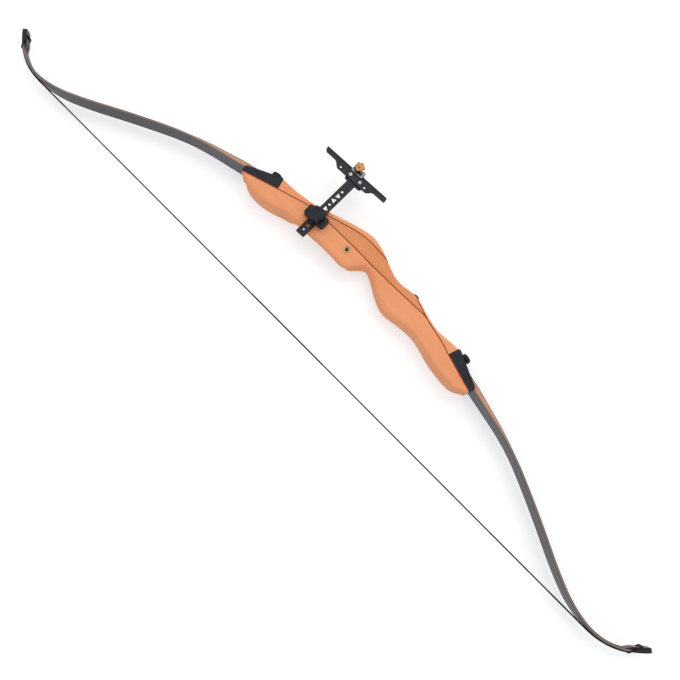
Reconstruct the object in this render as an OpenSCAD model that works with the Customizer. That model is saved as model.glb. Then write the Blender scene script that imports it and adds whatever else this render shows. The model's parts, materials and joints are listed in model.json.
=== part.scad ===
// Takedown recurve bow, strung, lying on its left side.
// X points to the target, Y to the upper limb, Z out of the bow's right side.
// Distances called "from the string" run along X from the line of the string.

/* [Riser] */
// Distance along the bow from the grip to the middle of each limb pocket
pocket_y = 265; // [255:1:280]
// Distance from the string to the pad under the middle of each pocket
pad_x = 166.5; // [160:0.5:172]
// Slope of the pad towards the string
pad_angle = 17.2; // [16:0.2:20]
// Width of the riser where it is widest
riser_w = 49; // [49:0.5:56]
// Depth of the sight window past the middle of the bow
window_past_center = 4; // [2:0.5:6]
// Height of the arrow shelf above the grip
shelf_y = 24; // [20:1:28]
// Length of the sight window from shelf to upper end
window_len = 126; // [115:1:132]
// Thickness of each dark veneer
veneer_t = 2.4; // [1.2:0.2:3]
// Distance from the string to the straight centre veneer
center_veneer_x = 199.5; // [197:0.5:202]
// Rounding of the riser's long edges
edge_r = 7; // [4:0.5:9]
// Rounding of the grip's edges
grip_r = 13; // [9:0.5:15]

/* [Limb pockets] */
// Length of a pocket along its pad
pocket_len = 79.5; // [72:0.5:84]
// Height of the side walls at the riser end
wall_high = 24; // [20:0.5:28]
// Height of the side walls at the limb end
wall_low = 13; // [9:0.5:15]
// Floor thickness of the pocket under the limb bolt
floor_t = 2.8; // [2.6:0.2:5]
// Slope of the limb's seat against the pad
seat_tilt = 4.2; // [3:0.2:6]
// Distance of the limb bolt from the middle of the pocket
bolt_setback = 16.5; // [14:0.5:18]
// Gap between the limb and each pocket wall
limb_side_gap = 0.25; // [0.1:0.05:0.5]

/* [Limbs] */
// Width of a limb in its pocket
limb_w = 44; // [40:0.5:45]
// Width of a limb along its working length
limb_mid_w = 38; // [34:0.5:41]
// Width of a limb at the string nock
limb_tip_w = 17.5; // [15:0.5:20]
// Thickness of a limb in its pocket
butt_t = 12; // [10:0.5:14]
// Thickness of the limb's working part
blade_t = 4.8; // [4:0.1:6]
// Thickness of each glass face
glass_t = 1; // [0.6:0.1:1.4]
// Length of limb behind the bolt
butt_len = 12; // [11:0.5:13]
// Length from the limb bolt to where the butt starts to taper
wedge_start = 60; // [50:1:75]
// Length from the limb bolt to where the wedge has faded out
wedge_end = 185; // [170:1:210]
// Length of the tip overlay
overlay_len = 52; // [44:1:60]
// Thickness of the tip overlay at the nock
overlay_t = 4.6; // [3:0.2:6]
// Distance of the string nock from the limb's end
nock_setback = 32; // [28:1:36]
// Depth of the string nocks
nock_depth = 1.6; // [1:0.2:2.4]

/* [Limb bolts] */
// Diameter of the limb bolt's stud
bolt_d = 8; // [6:0.5:9]
// Depth of the stud below the limb
bolt_depth = 20; // [16:1:24]
// Diameter of the knob
knob_d = 20; // [18:0.5:24]
// Height of the knob's head
knob_h = 9; // [7:0.5:12]
// Height of the knob's neck
knob_neck_h = 9.6; // [8:0.2:12]
// Thickness of the bolt's washer
washer_t = 1.6; // [1:0.2:2.4]
// Outer diameter of the threaded insert
insert_d = 13; // [12:0.5:15]

/* [Fittings] */
// Thread bore of the plunger and stabiliser bushings
thread_d = 7; // [6.6:0.1:7.4]
// Outer diameter of the plunger bushing
plunger_d = 12; // [10:0.5:13]
// Height of the plunger hole above the grip
plunger_y = 48; // [45:1:52]
// Distance from the string to the plunger hole
plunger_x = 186; // [183:0.5:188]
// Distance of the stabiliser bushing below the grip
stabilizer_y = 107; // [104:1:108]
// Length of the stabiliser bushing
stabilizer_len = 24; // [18:1:30]
// Outer diameter of the stabiliser bushing's body
stabilizer_d = 10; // [9:0.5:11]
// Height of the stabiliser bushing's head above the wood
stabilizer_proud = 4.8; // [2:0.2:6]

/* [String] */
// Diameter of the string's strands
string_d = 2.4; // [1.8:0.1:2.6]
// Diameter over the servings
serving_d = 3.2; // [2.8:0.1:3.6]
// Length of the centre serving
center_serving_len = 190; // [150:5:230]
// Height of the middle of the centre serving above the grip
center_serving_y = 20; // [0:5:40]
// Length of each end serving on the free string
end_serving_len = 80; // [40:5:120]

/* [Bow sight] */
// Height of the sight bar above the grip
sight_y = 132.5; // [130:0.5:136]
// Slope of the sight bar towards the upper limb
sight_tilt = 1.7; // [0:0.1:3]
// Distance from the string to the middle of the mount block
block_x = 188.5; // [186:0.5:190]
// Length of the mount block along the bow
block_len = 48; // [42:1:54]
// Width of the mount block across the bow
block_w = 22; // [21:0.5:28]
// Height of the mount block
block_h = 13.5; // [13:0.5:15]
// Width of the extension bar
bar_w = 19.5; // [17:0.5:21]
// Thickness of the extension bar
bar_t = 3; // [2.5:0.1:3.6]
// Distance from the string to the rear end of the extension bar
bar_rear_x = 142; // [138:1:150]
// Distance between the cut-outs of the extension bar
cutout_pitch = 11.8; // [11:0.2:12.4]
// Diameter of the round cut-outs
cutout_d = 5.2; // [3.6:0.2:6]
// Diameter of the clamp knob
clamp_knob_d = 32; // [26:1:36]
// Height of the clamp knob's head
clamp_knob_h = 12; // [9:0.5:15]
// Length of the elevation bar
elevation_len = 157; // [140:1:165]
// Distance from the string to the front edge of the elevation bar
elevation_front_x = 309.5; // [304:0.5:316]
// Width of the elevation bar's arms
elevation_arm_w = 11; // [10:0.5:13]
// Width of the elevation bar's middle
elevation_mid_w = 21; // [20:0.5:26]
// Length of the elevation bar's middle
elevation_mid_len = 98; // [84:1:104]
// Distance between the two bright screws
bar_screw_pitch = 25; // [23:0.5:27]
// Length of the carriage
carriage_len = 27.5; // [26:0.5:32]
// Length of the windage pin
pin_len = 39; // [36:1:44]
// Diameter of the windage pin
pin_d = 5; // [4:0.2:5.6]
// Diameter of the brass star nut
star_nut_d = 20.5; // [16:0.5:22]
// Outer diameter of the aperture ring
ring_d = 14; // [12:0.5:16]

/* [Arrow rest] */
// Length of the rest arm
rest_arm_len = 17; // [14:0.5:19]
// Height of the arrow rest's arm below the plunger hole
rest_drop = 5; // [4.5:0.5:6]

/* [Fits] */
// Radial clearance of a turning or sliding shaft
running_gap = 0.05; // [0.03:0.01:0.1]
// Clearance between flat faces that slide on each other
slide_gap = 0.1; // [0.05:0.05:0.2]

/* [Hidden] */
$fn = 64;
half_w = riser_w / 2;
through = 400;
overshoot = 1;

// Limb pocket frame: height above the pad along X, distance towards the tip along Y
pocket_half = pocket_len / 2;
bolt_along = -bolt_setback;
limb_angle = pad_angle - seat_tilt;
pocket_reach_y = pocket_half * cos(pad_angle);
riser_end_y = pocket_y + pocket_reach_y - 1;
shoulder_y = pocket_y - pocket_reach_y;
overlay_end_y = shoulder_y + wall_high / 2;
channel_w = limb_w + 2 * limb_side_gap;

// Limb centre line on the belly face: length of each stretch and the slope at its end
limb_bends = [[127, 0], [105, -12], [135, -15], [70, -10.5], [60, 4], [106, 50], [37, 61]];
limb_len = sum_first(limb_bends, len(limb_bends));
seat_x = pad_x + floor_t * cos(pad_angle) - bolt_along * sin(pad_angle);
seat_y = pocket_y + floor_t * sin(pad_angle) + bolt_along * cos(pad_angle);
limb_turns = [for (i = [0:len(limb_bends)]) [sum_first(limb_bends, i), i == 0 ? 0 : limb_bends[i - 1][1]]];
limb_step = 2;
limb_trace = trace_limb();
limb_thick = [[-butt_len, butt_t], [wedge_start, butt_t], [wedge_end, blade_t], [limb_len, blade_t]];
limb_narrows = [[350, 0], [437, 0.12], [504, 0.39], [537, 0.68], [570, 0.95], [590, 1], [limb_len, 1]];
limb_width = concat(
    [[-butt_len, limb_w], [70, limb_w], [180, limb_mid_w + 0.5], [350, limb_mid_w]],
    [for (s = [370:15:595]) [s, limb_mid_w + (limb_tip_w - limb_mid_w) * smooth(limb_narrows, s)]],
    [[limb_len, limb_tip_w]]
);
overlay_start = limb_len - overlay_len;
nock_s = limb_len - nock_setback;
overlay_thick = [
    [overlay_start, 0], [overlay_start + 12, overlay_t * 0.85], [overlay_start + 17, overlay_t],
    [limb_len - 8, overlay_t], [limb_len - 3, overlay_t * 0.8], [limb_len, overlay_t * 0.35]
];
recurve_s = sum_first(limb_bends, 4) - 17;
curve_step = 11;
recurve_step = 7;
overlay_stations = [for (row = overlay_thick) row[0]];
limb_stations = concat([-butt_len, wedge_start], steps(wedge_start + 3 * curve_step, recurve_s, curve_step),
    merged(steps(recurve_s + recurve_step, limb_len, recurve_step), overlay_stations));
wedge_stations = concat([for (s = limb_stations) if (s < wedge_end - 3) s], [wedge_end]);
tip_stations = [for (s = limb_stations) if (s >= overlay_start) s];

// String: its line touches the bellies of both limbs
string_x = min([for (p = limb_trace) p[0]]) - serving_d / 2;
contact_i = search_lowest(limb_trace);
contact_s = limb_trace[contact_i][2];
serving_side = 8;

// Riser outlines as [distance along the bow, distance from the string]
pad_tan = tan(pad_angle);
belly_outline = [
    [-riser_end_y, pad_line(riser_end_y) - 3], [-pocket_y - 28, 147.5], [-pocket_y - 17, 140.5],
    [-pocket_y - 2, 137.8], [-pocket_y + 24, 139.6], [-207, 146], [-176, 155.3], [-150, 159.4], [-120, 155.8],
    [-100, 151.6], [-86, 150.2], [-72, 153.4], [-50, 163.4], [-24, 179.2], [-6, 187], [5, 183.2], [13, 173.6],
    [21, 164], [27, 159.4], [38, 156.8], [60, 157.8], [86, 158.2], [127, 156.3], [157, 155.5], [187, 153],
    [206, 146.4], [pocket_y - 30, 139.5], [pocket_y, 139], [pocket_y + 18, 144.5], [pocket_y + 29, 151],
    [riser_end_y, pad_line(riser_end_y) - 3]
];
back_outline = [
    [-riser_end_y, 199], [-235, 199], [-218, 199.1], [-198, 197.4], [-182, 197.1], [-168, 199.6],
    [-145, 206.2], [-130, 211.6], [-120, 214.7], [-112, 217], [-102, 218.2], [-92, 216.9], [-71, 214.8],
    [-51, 217.7], [-30, 225.4], [-10, 234.2], [7, 239],
    [25, 242.2], [40, 241], [66, 235.2], [99, 225.2], [125, 216.8], [163, 206], [186, 202.8], [205, 200.8],
    [230, 200.2], [riser_end_y, 199.5]
];
upper_veneer_line = [
    [-40, 228.5], [-12, 229], [8, 229.8], [30, 229.6], [58, 226], [92, 217], [124, 207.5], [165, 195.5], [194, 187],
    [shoulder_y - 6, pad_line(shoulder_y - 6) - veneer_t / 2],
    [shoulder_y, pad_line(shoulder_y) - veneer_t / 2],
    [pocket_y, pad_line(pocket_y) - veneer_t / 2], [riser_end_y, pad_line(riser_end_y) - veneer_t / 2]
];
lower_veneer_line = [
    [-riser_end_y, pad_line(riser_end_y) - veneer_t / 2], [-pocket_y, pad_line(pocket_y) - veneer_t / 2],
    [-shoulder_y, pad_line(shoulder_y) - veneer_t / 2], [6 - shoulder_y, pad_line(shoulder_y - 6) - veneer_t / 2],
    [-214, 182], [-196, 187.4], [-180, 191], [-166, 194.4], [-151, 199], [-135, 204.6], [-123, 209.2],
    [-112, 214.4], [-100, 220]
];
window_top_y = shelf_y + window_len;
window_wall = -window_past_center;
left_half = [
    [-riser_end_y, half_w], [-200, half_w], [-150, half_w - 1], [-120, 21], [-90, 18], [-60, 17], [-30, 16],
    [-10, 16], [6, 18], [14, 21], [shelf_y - 3, 21.5], [shelf_y, 18], [shelf_y + 2, 4],
    [shelf_y + 4, window_wall], [window_top_y, window_wall], [window_top_y + 8, window_wall + 5],
    [window_top_y + 22, half_w - 6], [window_top_y + 32, half_w], [riser_end_y, half_w]
];
right_half = [
    [-riser_end_y, half_w], [-200, half_w], [-150, half_w - 0.5], [-120, 22], [-90, 20], [-60, 19], [-30, 18],
    [-10, 18.5], [10, 21], [30, half_w - 0.5], [60, half_w], [riser_end_y, half_w]
];
belly_round = [[-riser_end_y, 3], [-pocket_y, edge_r], [-140, edge_r], [-100, grip_r], [-10, grip_r],
    [14, edge_r + 2], [30, edge_r], [pocket_y, edge_r], [riser_end_y, 3]];
left_belly_round = [[-riser_end_y, 3], [-pocket_y, edge_r], [-140, edge_r], [-100, grip_r], [-10, grip_r],
    [8, grip_r + 3], [shelf_y, 2 * grip_r], [shelf_y + 4, edge_r], [pocket_y, edge_r], [riser_end_y, 3]];
back_round = [[-180, edge_r - 1], [-150, edge_r + 1], [-110, edge_r], [-60, edge_r + 2], [0, edge_r],
    [200, edge_r - 1]];

// Sight heights measured from the middle of the bow
block_z = half_w;
bar_z = block_z + 3.5;
elevation_z = bar_z + bar_t;
elevation_t = 3;
pad_t = 2.4;
clamp_pad_d = 12;
clamp_stud_d = 6;
block_top_z = block_z + block_h;
elevation_y = sight_y + 6;
carriage_y = sight_y + 4.5;
pin_x = elevation_front_x + pin_d / 2 + 5;
pin_y = carriage_y + 3.3;
carriage_lip = 6;
carriage_front_x = elevation_front_x + 4;
carriage_z = elevation_z - 3;
carriage_h = elevation_t + 6;
star_x = block_x + (pin_x - block_x) * cos(sight_tilt) - (pin_y - sight_y) * sin(sight_tilt);
front_x = star_x + star_nut_d / 2;
rear_x = string_x - serving_d / 2;
mid_x = (front_x + rear_x) / 2;

function sum_first(rows, n, i = 0) = i >= n ? 0 : rows[i][0] + sum_first(rows, n, i + 1);

// Distance from the string to the pad line at a distance y along the bow
function pad_line(y) = pad_x + pad_tan * (pocket_y - y);

// Slope of the limb against its seat, at a distance s from the bolt
function limb_slope(s) = lookup(s, limb_turns) - limb_angle;

// Belly face of the limb as rows of [x, y, s], walked in short straight steps
function trace_limb() = [
    for (s = 0, x = seat_x, y = seat_y;
        s <= limb_len;
        x = x + limb_step * sin(limb_slope(s + limb_step / 2)),
        y = y + limb_step * cos(limb_slope(s + limb_step / 2)),
        s = s + limb_step) [x, y, s]
];

// Point at a distance s along the limb and n off its belly face, as [x, y]
function limb_point(s, n) =
    let (
        i = max(0, min(len(limb_trace) - 1, floor(s / limb_step))),
        row = limb_trace[i],
        more = s - row[2],
        a = limb_slope(s)
    )
    [row[0] + more * sin(a) + n * cos(a), row[1] + more * cos(a) - n * sin(a)];

function search_lowest(rows, i = 0, best = 0) =
    i >= len(rows) ? best : search_lowest(rows, i + 1, rows[i][0] < rows[best][0] ? i : best);

// Smooth curve through outline points, at a distance y along the bow
function row_of(rows, y, i = 0) = i >= len(rows) - 2 || y < rows[i + 1][0] ? i : row_of(rows, y, i + 1);
function chord(rows, i, j) = (rows[j][1] - rows[i][1]) / (rows[j][0] - rows[i][0]);
function slope_at(rows, i) = chord(rows, max(i - 1, 0), min(i + 1, len(rows) - 1));
function smooth(rows, y) =
    let (
        i = row_of(rows, y),
        h = rows[i + 1][0] - rows[i][0],
        t = (y - rows[i][0]) / h,
        t2 = t * t,
        t3 = t2 * t
    )
    (2 * t3 - 3 * t2 + 1) * rows[i][1] + (t3 - 2 * t2 + t) * h * slope_at(rows, i)
    + (3 * t2 - 2 * t3) * rows[i + 1][1] + (t3 - t2) * h * slope_at(rows, i + 1);

// Riser surfaces
function belly(y) = smooth(belly_outline, y);
function back(y) = smooth(back_outline, y);
function rounding(d, r) = d >= r ? 0 : r - sqrt(max(0, r * r - (r - d) * (r - d)));
function trim(y, x, belly_r) = rounding(x - belly(y), lookup(y, belly_r))
    + rounding(back(y) - x, lookup(y, back_round));
function right_face(y, x) = lookup(y, right_half) - trim(y, x, belly_round);
function left_face(y, x) = min(right_face(y, x) - 2, -lookup(y, left_half) + trim(y, x, left_belly_round));

// Middle lines of the three dark veneers
function upper_line(y) = smooth(upper_veneer_line, y);
function lower_line(y) = smooth(lower_veneer_line, y);
function solve(f, a, b, n = 40) =
    let (m = (a + b) / 2)
    n == 0 ? m : f(a) * f(m) <= 0 ? solve(f, a, m, n - 1) : solve(f, m, b, n - 1);
function outer_line(y) = min(y > upper_veneer_line[0][0] ? upper_line(y) : through,
    y < lower_veneer_line[len(lower_veneer_line) - 1][0] ? lower_line(y) : through);

// Solid between two surfaces of the riser, built of rings across the bow
function ease(j, m) = (1 - cos(180 * j / m)) / 2;
function ring_point(y, x, right) = [x, y, right ? right_face(y, x) : left_face(y, x)];
function ring(y, low, high, m) = concat(
    [for (j = [0:m]) ring_point(y, low + (high - low) * ease(j, m), true)],
    [for (j = [m:-1:0]) ring_point(y, low + (high - low) * ease(j, m), false)]
);
function flat(rows) = [for (row = rows) each row];
function side_faces(k, n) = flat([for (i = [0:k - 2]) flat([for (j = [0:n - 1])
    let (a = i * n + j, b = i * n + (j + 1) % n, c = a + n, d = b + n) [[a, c, b], [b, c, d]]])]);
function end_faces(k, n) = concat([[for (j = [0:n - 1]) j]], [[for (j = [n - 1:-1:0]) (k - 1) * n + j]]);

module skin(rings) {
    k = len(rings);
    n = len(rings[0]);
    polyhedron(points = flat(rings), faces = concat(side_faces(k, n), end_faces(k, n)));
}

module riser_layer(stations, low, high, m) {
    skin([for (y = stations) ring(y, low(y), high(y), m)]);
}

// Lists of stations along the bow
function merged(a, b) = sorted(concat([for (v = a) if (min([for (w = b) abs(v - w)]) > 2) v], b));
function sorted(v) = len(v) <= 1 ? v : let (
    pivot = v[floor(len(v) / 2)],
    less = [for (x = v) if (x < pivot) x],
    same = [for (x = v) if (x == pivot) x],
    more = [for (x = v) if (x > pivot) x])
    concat(sorted(less), same, sorted(more));
function between(rows, a, b) = concat([a], [for (v = rows) if (v > a + 2 && v < b - 2) v], [b]);
function steps(a, b, step) = let (n = ceil((b - a) / step)) [for (i = [0:n]) a + (b - a) * i / n];

// Places: from the string's line at the middle of the bow to the part's own frame
module placed() {
    translate([-mid_x, 0, half_w]) children();
}

// The sight's own frame, turned about the middle of its mount block
module tilted() {
    translate([block_x, sight_y, 0]) rotate([0, 0, sight_tilt]) translate([-block_x, -sight_y, 0]) children();
}

// The lower end mirrors the upper end
module end_of_bow(lower) {
    if (lower) mirror([0, 1, 0]) children();
    else children();
}

// Frame of a pad: X points away from the pad, Y towards the tip
module at_pad() {
    translate([pad_x, pocket_y, 0]) rotate([0, 0, pad_angle]) children();
}

// Frame of the limb's belly face at a distance s from the bolt: X through the limb, Y towards the tip
module at_limb(s) {
    translate(concat(limb_point(s, 0), [0])) rotate([0, 0, -limb_slope(s)]) children();
}

module rod_x(d, from, to) {
    translate([from, 0, 0]) rotate([0, 90, 0]) cylinder(d = d, h = to - from);
}

module rod_y(d, from, to) {
    translate([0, from, 0]) rotate([-90, 0, 0]) cylinder(d = d, h = to - from);
}

module rod_z(d, from, to) {
    translate([0, 0, from]) cylinder(d = d, h = to - from);
}

// Cone along X that widens towards the top
module cone_x(d_low, d_top, top) {
    depth = (d_top - d_low) / 2;
    translate([top - depth, 0, 0]) rotate([0, 90, 0]) cylinder(d1 = d_low, d2 = d_top, h = depth);
}

module cone_z(d_low, d_top, top) {
    depth = (d_top - d_low) / 2;
    translate([0, 0, top - depth]) cylinder(d1 = d_low, d2 = d_top, h = depth);
}

// Plate with round corners between two heights
module plate(x0, x1, y0, y1, z0, z1, r) {
    translate([x0 + r, y0, z0]) cube([x1 - x0 - 2 * r, y1 - y0, z1 - z0]);
    translate([x0, y0 + r, z0]) cube([x1 - x0, y1 - y0 - 2 * r, z1 - z0]);
    for (x = [x0 + r, x1 - r], y = [y0 + r, y1 - r]) translate([x, y, 0]) rod_z(2 * r, z0, z1);
}

// Bores of the riser
stud_hole_d = bolt_d + 1;
insert_len = 18;
insert_top = -floor_t - 1.5;
pocket_screw_d = 3.5;
pocket_screw_head = 7;
pocket_screw_depth = 9;
pocket_screw_along = [bolt_along + 30, bolt_along + 43];
pocket_screw_sink = 0.8;
pin_along = 18;
locating_pin_d = 6;
locating_pin_h = 5;
locating_pin_seat = 2;
mount_screw_d = 4;
mount_screw_head = 8;
mount_screw_depth = 15;
mount_screw_half = block_len / 2 - 6;
flange_d = 12.5;
flange_sink = 1.5;
stabilizer_seat_x = back(-stabilizer_y) - flange_sink;
plunger_flange_d = plunger_d + 2;
plunger_flange_t = 0.5;

module mount_screw_places() {
    for (side = [-1, 1]) translate([block_x, sight_y + side * mount_screw_half, 0]) children();
}

module riser_bores() {
    translate([plunger_x, plunger_y, 0]) rod_z(plunger_d, -half_w, half_w + overshoot);
    translate([0, -stabilizer_y, 0]) {
        rod_x(stabilizer_d, stabilizer_seat_x - stabilizer_len, through);
        rod_x(flange_d, stabilizer_seat_x, through);
    }
    for (lower = [false, true]) end_of_bow(lower) {
        at_limb(0) {
            rod_x(insert_d, insert_top - insert_len, 0);
            rod_x(stud_hole_d, -bolt_depth - 3, 0);
        }
        at_pad() for (along = pocket_screw_along)
            translate([0, along, 0]) rod_x(pocket_screw_d, -pocket_screw_depth, overshoot);
    }
    tilted() mount_screw_places() rod_z(mount_screw_d, block_z - mount_screw_depth, half_w + overshoot);
}

// Space that the overlays leave free, from the shoulder to the riser's end
module pocket_notch() {
    at_pad() translate([-overshoot, -pocket_half, -half_w - overshoot])
        cube([2 * pocket_len, 2 * pocket_len, riser_w + 2 * overshoot]);
}

riser_step = 7.5;
riser_stations = steps(-riser_end_y, riser_end_y, riser_step);
window_stations = [shelf_y, shelf_y + 2, shelf_y + 4, window_top_y, window_top_y + 8];
core_stations = merged(riser_stations, window_stations);

// Ends of the thin layers, where one surface runs into another
feather = 0.4;
upper_exit_y = solve(function (y) back(y) - upper_line(y) - veneer_t / 2 - feather, -30, 10);
upper_fade_y = solve(function (y) back(y) - upper_line(y) + veneer_t / 2 - feather, -40, 10);
lower_exit_y = solve(function (y) back(y) - lower_line(y) - veneer_t / 2 - feather, -160, -106);
lower_fade_y = solve(function (y) back(y) - lower_line(y) + veneer_t / 2 - feather, -125, -101);
center_low_y = solve(function (y) lower_line(y) - center_veneer_x - feather, -200, -110);
center_high_y = solve(function (y) upper_line(y) - center_veneer_x - feather, 100, 190);
wedge_low_y = solve(function (y) lower_line(y) - center_veneer_x - veneer_t - feather, -200, -110);
wedge_high_y = solve(function (y) upper_line(y) - center_veneer_x - veneer_t - feather, 60, 190);

module riser_core() {
    color("sandybrown") placed() difference() {
        riser_layer(core_stations, function (y) belly(y),
            function (y) min(outer_line(y), center_veneer_x) - veneer_t / 2, 9);
        riser_bores();
    }
}

module riser_center_wedge() {
    color("peru") placed() difference() {
        riser_layer(between(core_stations, wedge_low_y, wedge_high_y),
            function (y) center_veneer_x + veneer_t / 2,
            function (y) min(back(y), outer_line(y) - veneer_t / 2), 6);
        riser_bores();
    }
}

module riser_upper_back() {
    color("sandybrown") placed() difference() {
        riser_layer(between(core_stations, upper_exit_y, overlay_end_y),
            function (y) upper_line(y) + veneer_t / 2, function (y) back(y), 6);
        pocket_notch();
    }
}

module riser_lower_back() {
    color("sandybrown") placed() difference() {
        riser_layer(between(core_stations, -overlay_end_y, lower_exit_y),
            function (y) lower_line(y) + veneer_t / 2, function (y) back(y), 6);
        end_of_bow(true) pocket_notch();
        riser_bores();
    }
}

module veneer_upper() {
    color("saddlebrown") placed() difference() {
        riser_layer(between(core_stations, upper_fade_y, riser_end_y),
            function (y) upper_line(y) - veneer_t / 2,
            function (y) min(back(y), upper_line(y) + veneer_t / 2), 2);
        riser_bores();
    }
}

module veneer_center() {
    color("saddlebrown") placed() difference() {
        riser_layer(between(core_stations, center_low_y, center_high_y),
            function (y) center_veneer_x - veneer_t / 2,
            function (y) min(center_veneer_x, outer_line(y) - veneer_t) + veneer_t / 2, 2);
        riser_bores();
    }
}

module veneer_lower() {
    color("saddlebrown") placed() difference() {
        riser_layer(between(core_stations, -riser_end_y, lower_fade_y),
            function (y) lower_line(y) - veneer_t / 2,
            function (y) min(back(y), lower_line(y) + veneer_t / 2), 2);
        riser_bores();
    }
}

// Fittings of the riser
module plunger_bushing() {
    color("goldenrod") placed() translate([plunger_x, plunger_y, 0]) difference() {
        union() {
            rod_z(plunger_d, window_past_center, half_w);
            rod_z(plunger_flange_d, half_w, half_w + plunger_flange_t);
        }
        rod_z(thread_d, 0, half_w + plunger_flange_t + overshoot);
    }
}

module stabilizer_insert() {
    bore_depth = 18;
    face_x = back(-stabilizer_y) + stabilizer_proud;
    color("black") placed() translate([0, -stabilizer_y, 0]) difference() {
        union() {
            rod_x(stabilizer_d, stabilizer_seat_x - stabilizer_len, face_x);
            rod_x(flange_d, stabilizer_seat_x, face_x);
        }
        rod_x(thread_d, face_x - bore_depth, through);
    }
}

module bolt_insert(lower) {
    color("gray") placed() end_of_bow(lower) at_limb(0) difference() {
        rod_x(insert_d, insert_top - insert_len, insert_top);
        rod_x(bolt_d + 2 * running_gap, -through, 0);
    }
}

// Limb pocket and what it holds
function floor_height(along) = floor_t + (along - bolt_along) * tan(seat_tilt);

module pocket_screw_places() {
    for (along = pocket_screw_along)
        translate([floor_height(along) - pocket_screw_sink, along, 0]) children();
}

module limb_pocket(lower) {
    color("black") placed() end_of_bow(lower) difference() {
        at_pad() translate([0, 0, -half_w]) linear_extrude(riser_w) polygon([
            [0, -pocket_half], [wall_high - 3, -pocket_half], [wall_high, -pocket_half + 3],
            [wall_low, pocket_half - 4], [wall_low - 3, pocket_half], [0, pocket_half]
        ]);
        at_limb(0) {
            translate([0, -butt_len - limb_side_gap, -channel_w / 2])
                cube([2 * wall_high, 2 * pocket_len, channel_w]);
            rod_x(stud_hole_d, -2 * floor_t, overshoot);
            translate([0, pin_along, 0]) rod_x(locating_pin_d, -locating_pin_seat, overshoot);
        }
        at_pad() pocket_screw_places() {
            rod_x(pocket_screw_d, -pocket_len / 2, 0);
            cone_x(pocket_screw_d, pocket_screw_head, 0);
            rod_x(pocket_screw_head, 0, floor_t);
        }
    }
}

module pocket_screws(lower) {
    color("gray") placed() end_of_bow(lower) at_pad() for (along = pocket_screw_along)
        translate([0, along, 0]) {
            top = floor_height(along) - pocket_screw_sink;
            rod_x(pocket_screw_d, -pocket_screw_depth, top);
            cone_x(pocket_screw_d, pocket_screw_head, top);
        }
}

module locating_pin(lower) {
    color("silver") placed() end_of_bow(lower) at_limb(0) translate([0, pin_along, 0])
        rod_x(locating_pin_d, -locating_pin_seat, locating_pin_h);
}

// Layers of a limb, between two heights above its belly face
function thick(s) = lookup(s, limb_thick);
function edge(stations, height) = [for (s = stations) limb_point(s, height(s))];
function open_part(stations, low, high) = [for (i = [len(stations) - 1:-1:0])
    if (high(stations[i]) - low(stations[i]) > 0.001) stations[i]];

module limb_plan() {
    right = [for (row = limb_width) [limb_point(row[0], 0)[1], row[1] / 2]];
    left = [for (i = [len(limb_width) - 1:-1:0]) [right[i][0], -right[i][1]]];
    translate([-limb_w, 0, 0]) rotate([90, 0, 90]) linear_extrude(through)
        polygon(concat([[0, limb_w / 2]], right, [[2 * limb_len, limb_tip_w / 2]],
            [[2 * limb_len, -limb_tip_w / 2]], left, [[0, -limb_w / 2]]));
}

module tip_corners() {
    at_limb(limb_len) difference() {
        translate([-limb_w, -limb_tip_w / 2, -limb_tip_w]) cube([2 * limb_w, limb_tip_w, 2 * limb_tip_w]);
        translate([0, -limb_tip_w / 2, 0]) rod_x(limb_tip_w, -through, through);
    }
}

module limb_bores() {
    at_limb(0) rod_x(stud_hole_d, -butt_t, 2 * butt_t);
    at_limb(0) translate([0, pin_along, 0])
        rod_x(locating_pin_d + 2 * running_gap, -butt_t, locating_pin_h + 1);
}

module limb_layer(stations, low, high) {
    upper = open_part(stations, low, high);
    placed() difference() {
        intersection() {
            translate([0, 0, -limb_w]) linear_extrude(2 * limb_w)
                polygon(concat(edge(stations, low), edge(upper, high)));
            limb_plan();
        }
        limb_bores();
        tip_corners();
        nock_grooves();
    }
}

module limb_belly_glass(lower) {
    color("dimgray") end_of_bow(lower)
        limb_layer(limb_stations, function (s) 0, function (s) glass_t);
}

module limb_core(lower) {
    color("tan") end_of_bow(lower)
        limb_layer(limb_stations, function (s) glass_t, function (s) blade_t - glass_t);
}

module limb_wedge(lower) {
    color("burlywood") end_of_bow(lower)
        limb_layer(wedge_stations, function (s) blade_t - glass_t, function (s) thick(s) - glass_t);
}

module limb_back_glass(lower) {
    color("#2e2018") end_of_bow(lower)
        limb_layer(limb_stations, function (s) thick(s) - glass_t, function (s) thick(s));
}

module tip_overlay(lower) {
    color("black") end_of_bow(lower)
        limb_layer(tip_stations, function (s) thick(s), function (s) thick(s) + lookup(s, overlay_thick));
}

// Limb bolt: washer, neck and fluted knob, with the stud below
contact_gap = 0.05;
washer_low = butt_t + contact_gap;
neck_low = washer_low + washer_t + contact_gap;
neck_d = 13;
knob_low = neck_low + knob_neck_h;
flute_count = 12;
flute_d = 4;
knob_round = 3;

module limb_washer(lower) {
    color("black") placed() end_of_bow(lower) at_limb(0) difference() {
        rod_x(knob_d, washer_low, washer_low + washer_t);
        rod_x(bolt_d + 2 * running_gap, 0, through);
    }
}

module knob_body() {
    r = knob_d / 2;
    arc = [for (a = [0:15:90]) a];
    rotate([0, 90, 0]) rotate_extrude() polygon(concat(
        [[0, 0]],
        [for (a = arc) [r - knob_round + knob_round * sin(a), knob_round - knob_round * cos(a)]],
        [for (a = arc) [r - knob_round + knob_round * cos(a), knob_h - knob_round + knob_round * sin(a)]],
        [[0, knob_h]]
    ));
}

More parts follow.
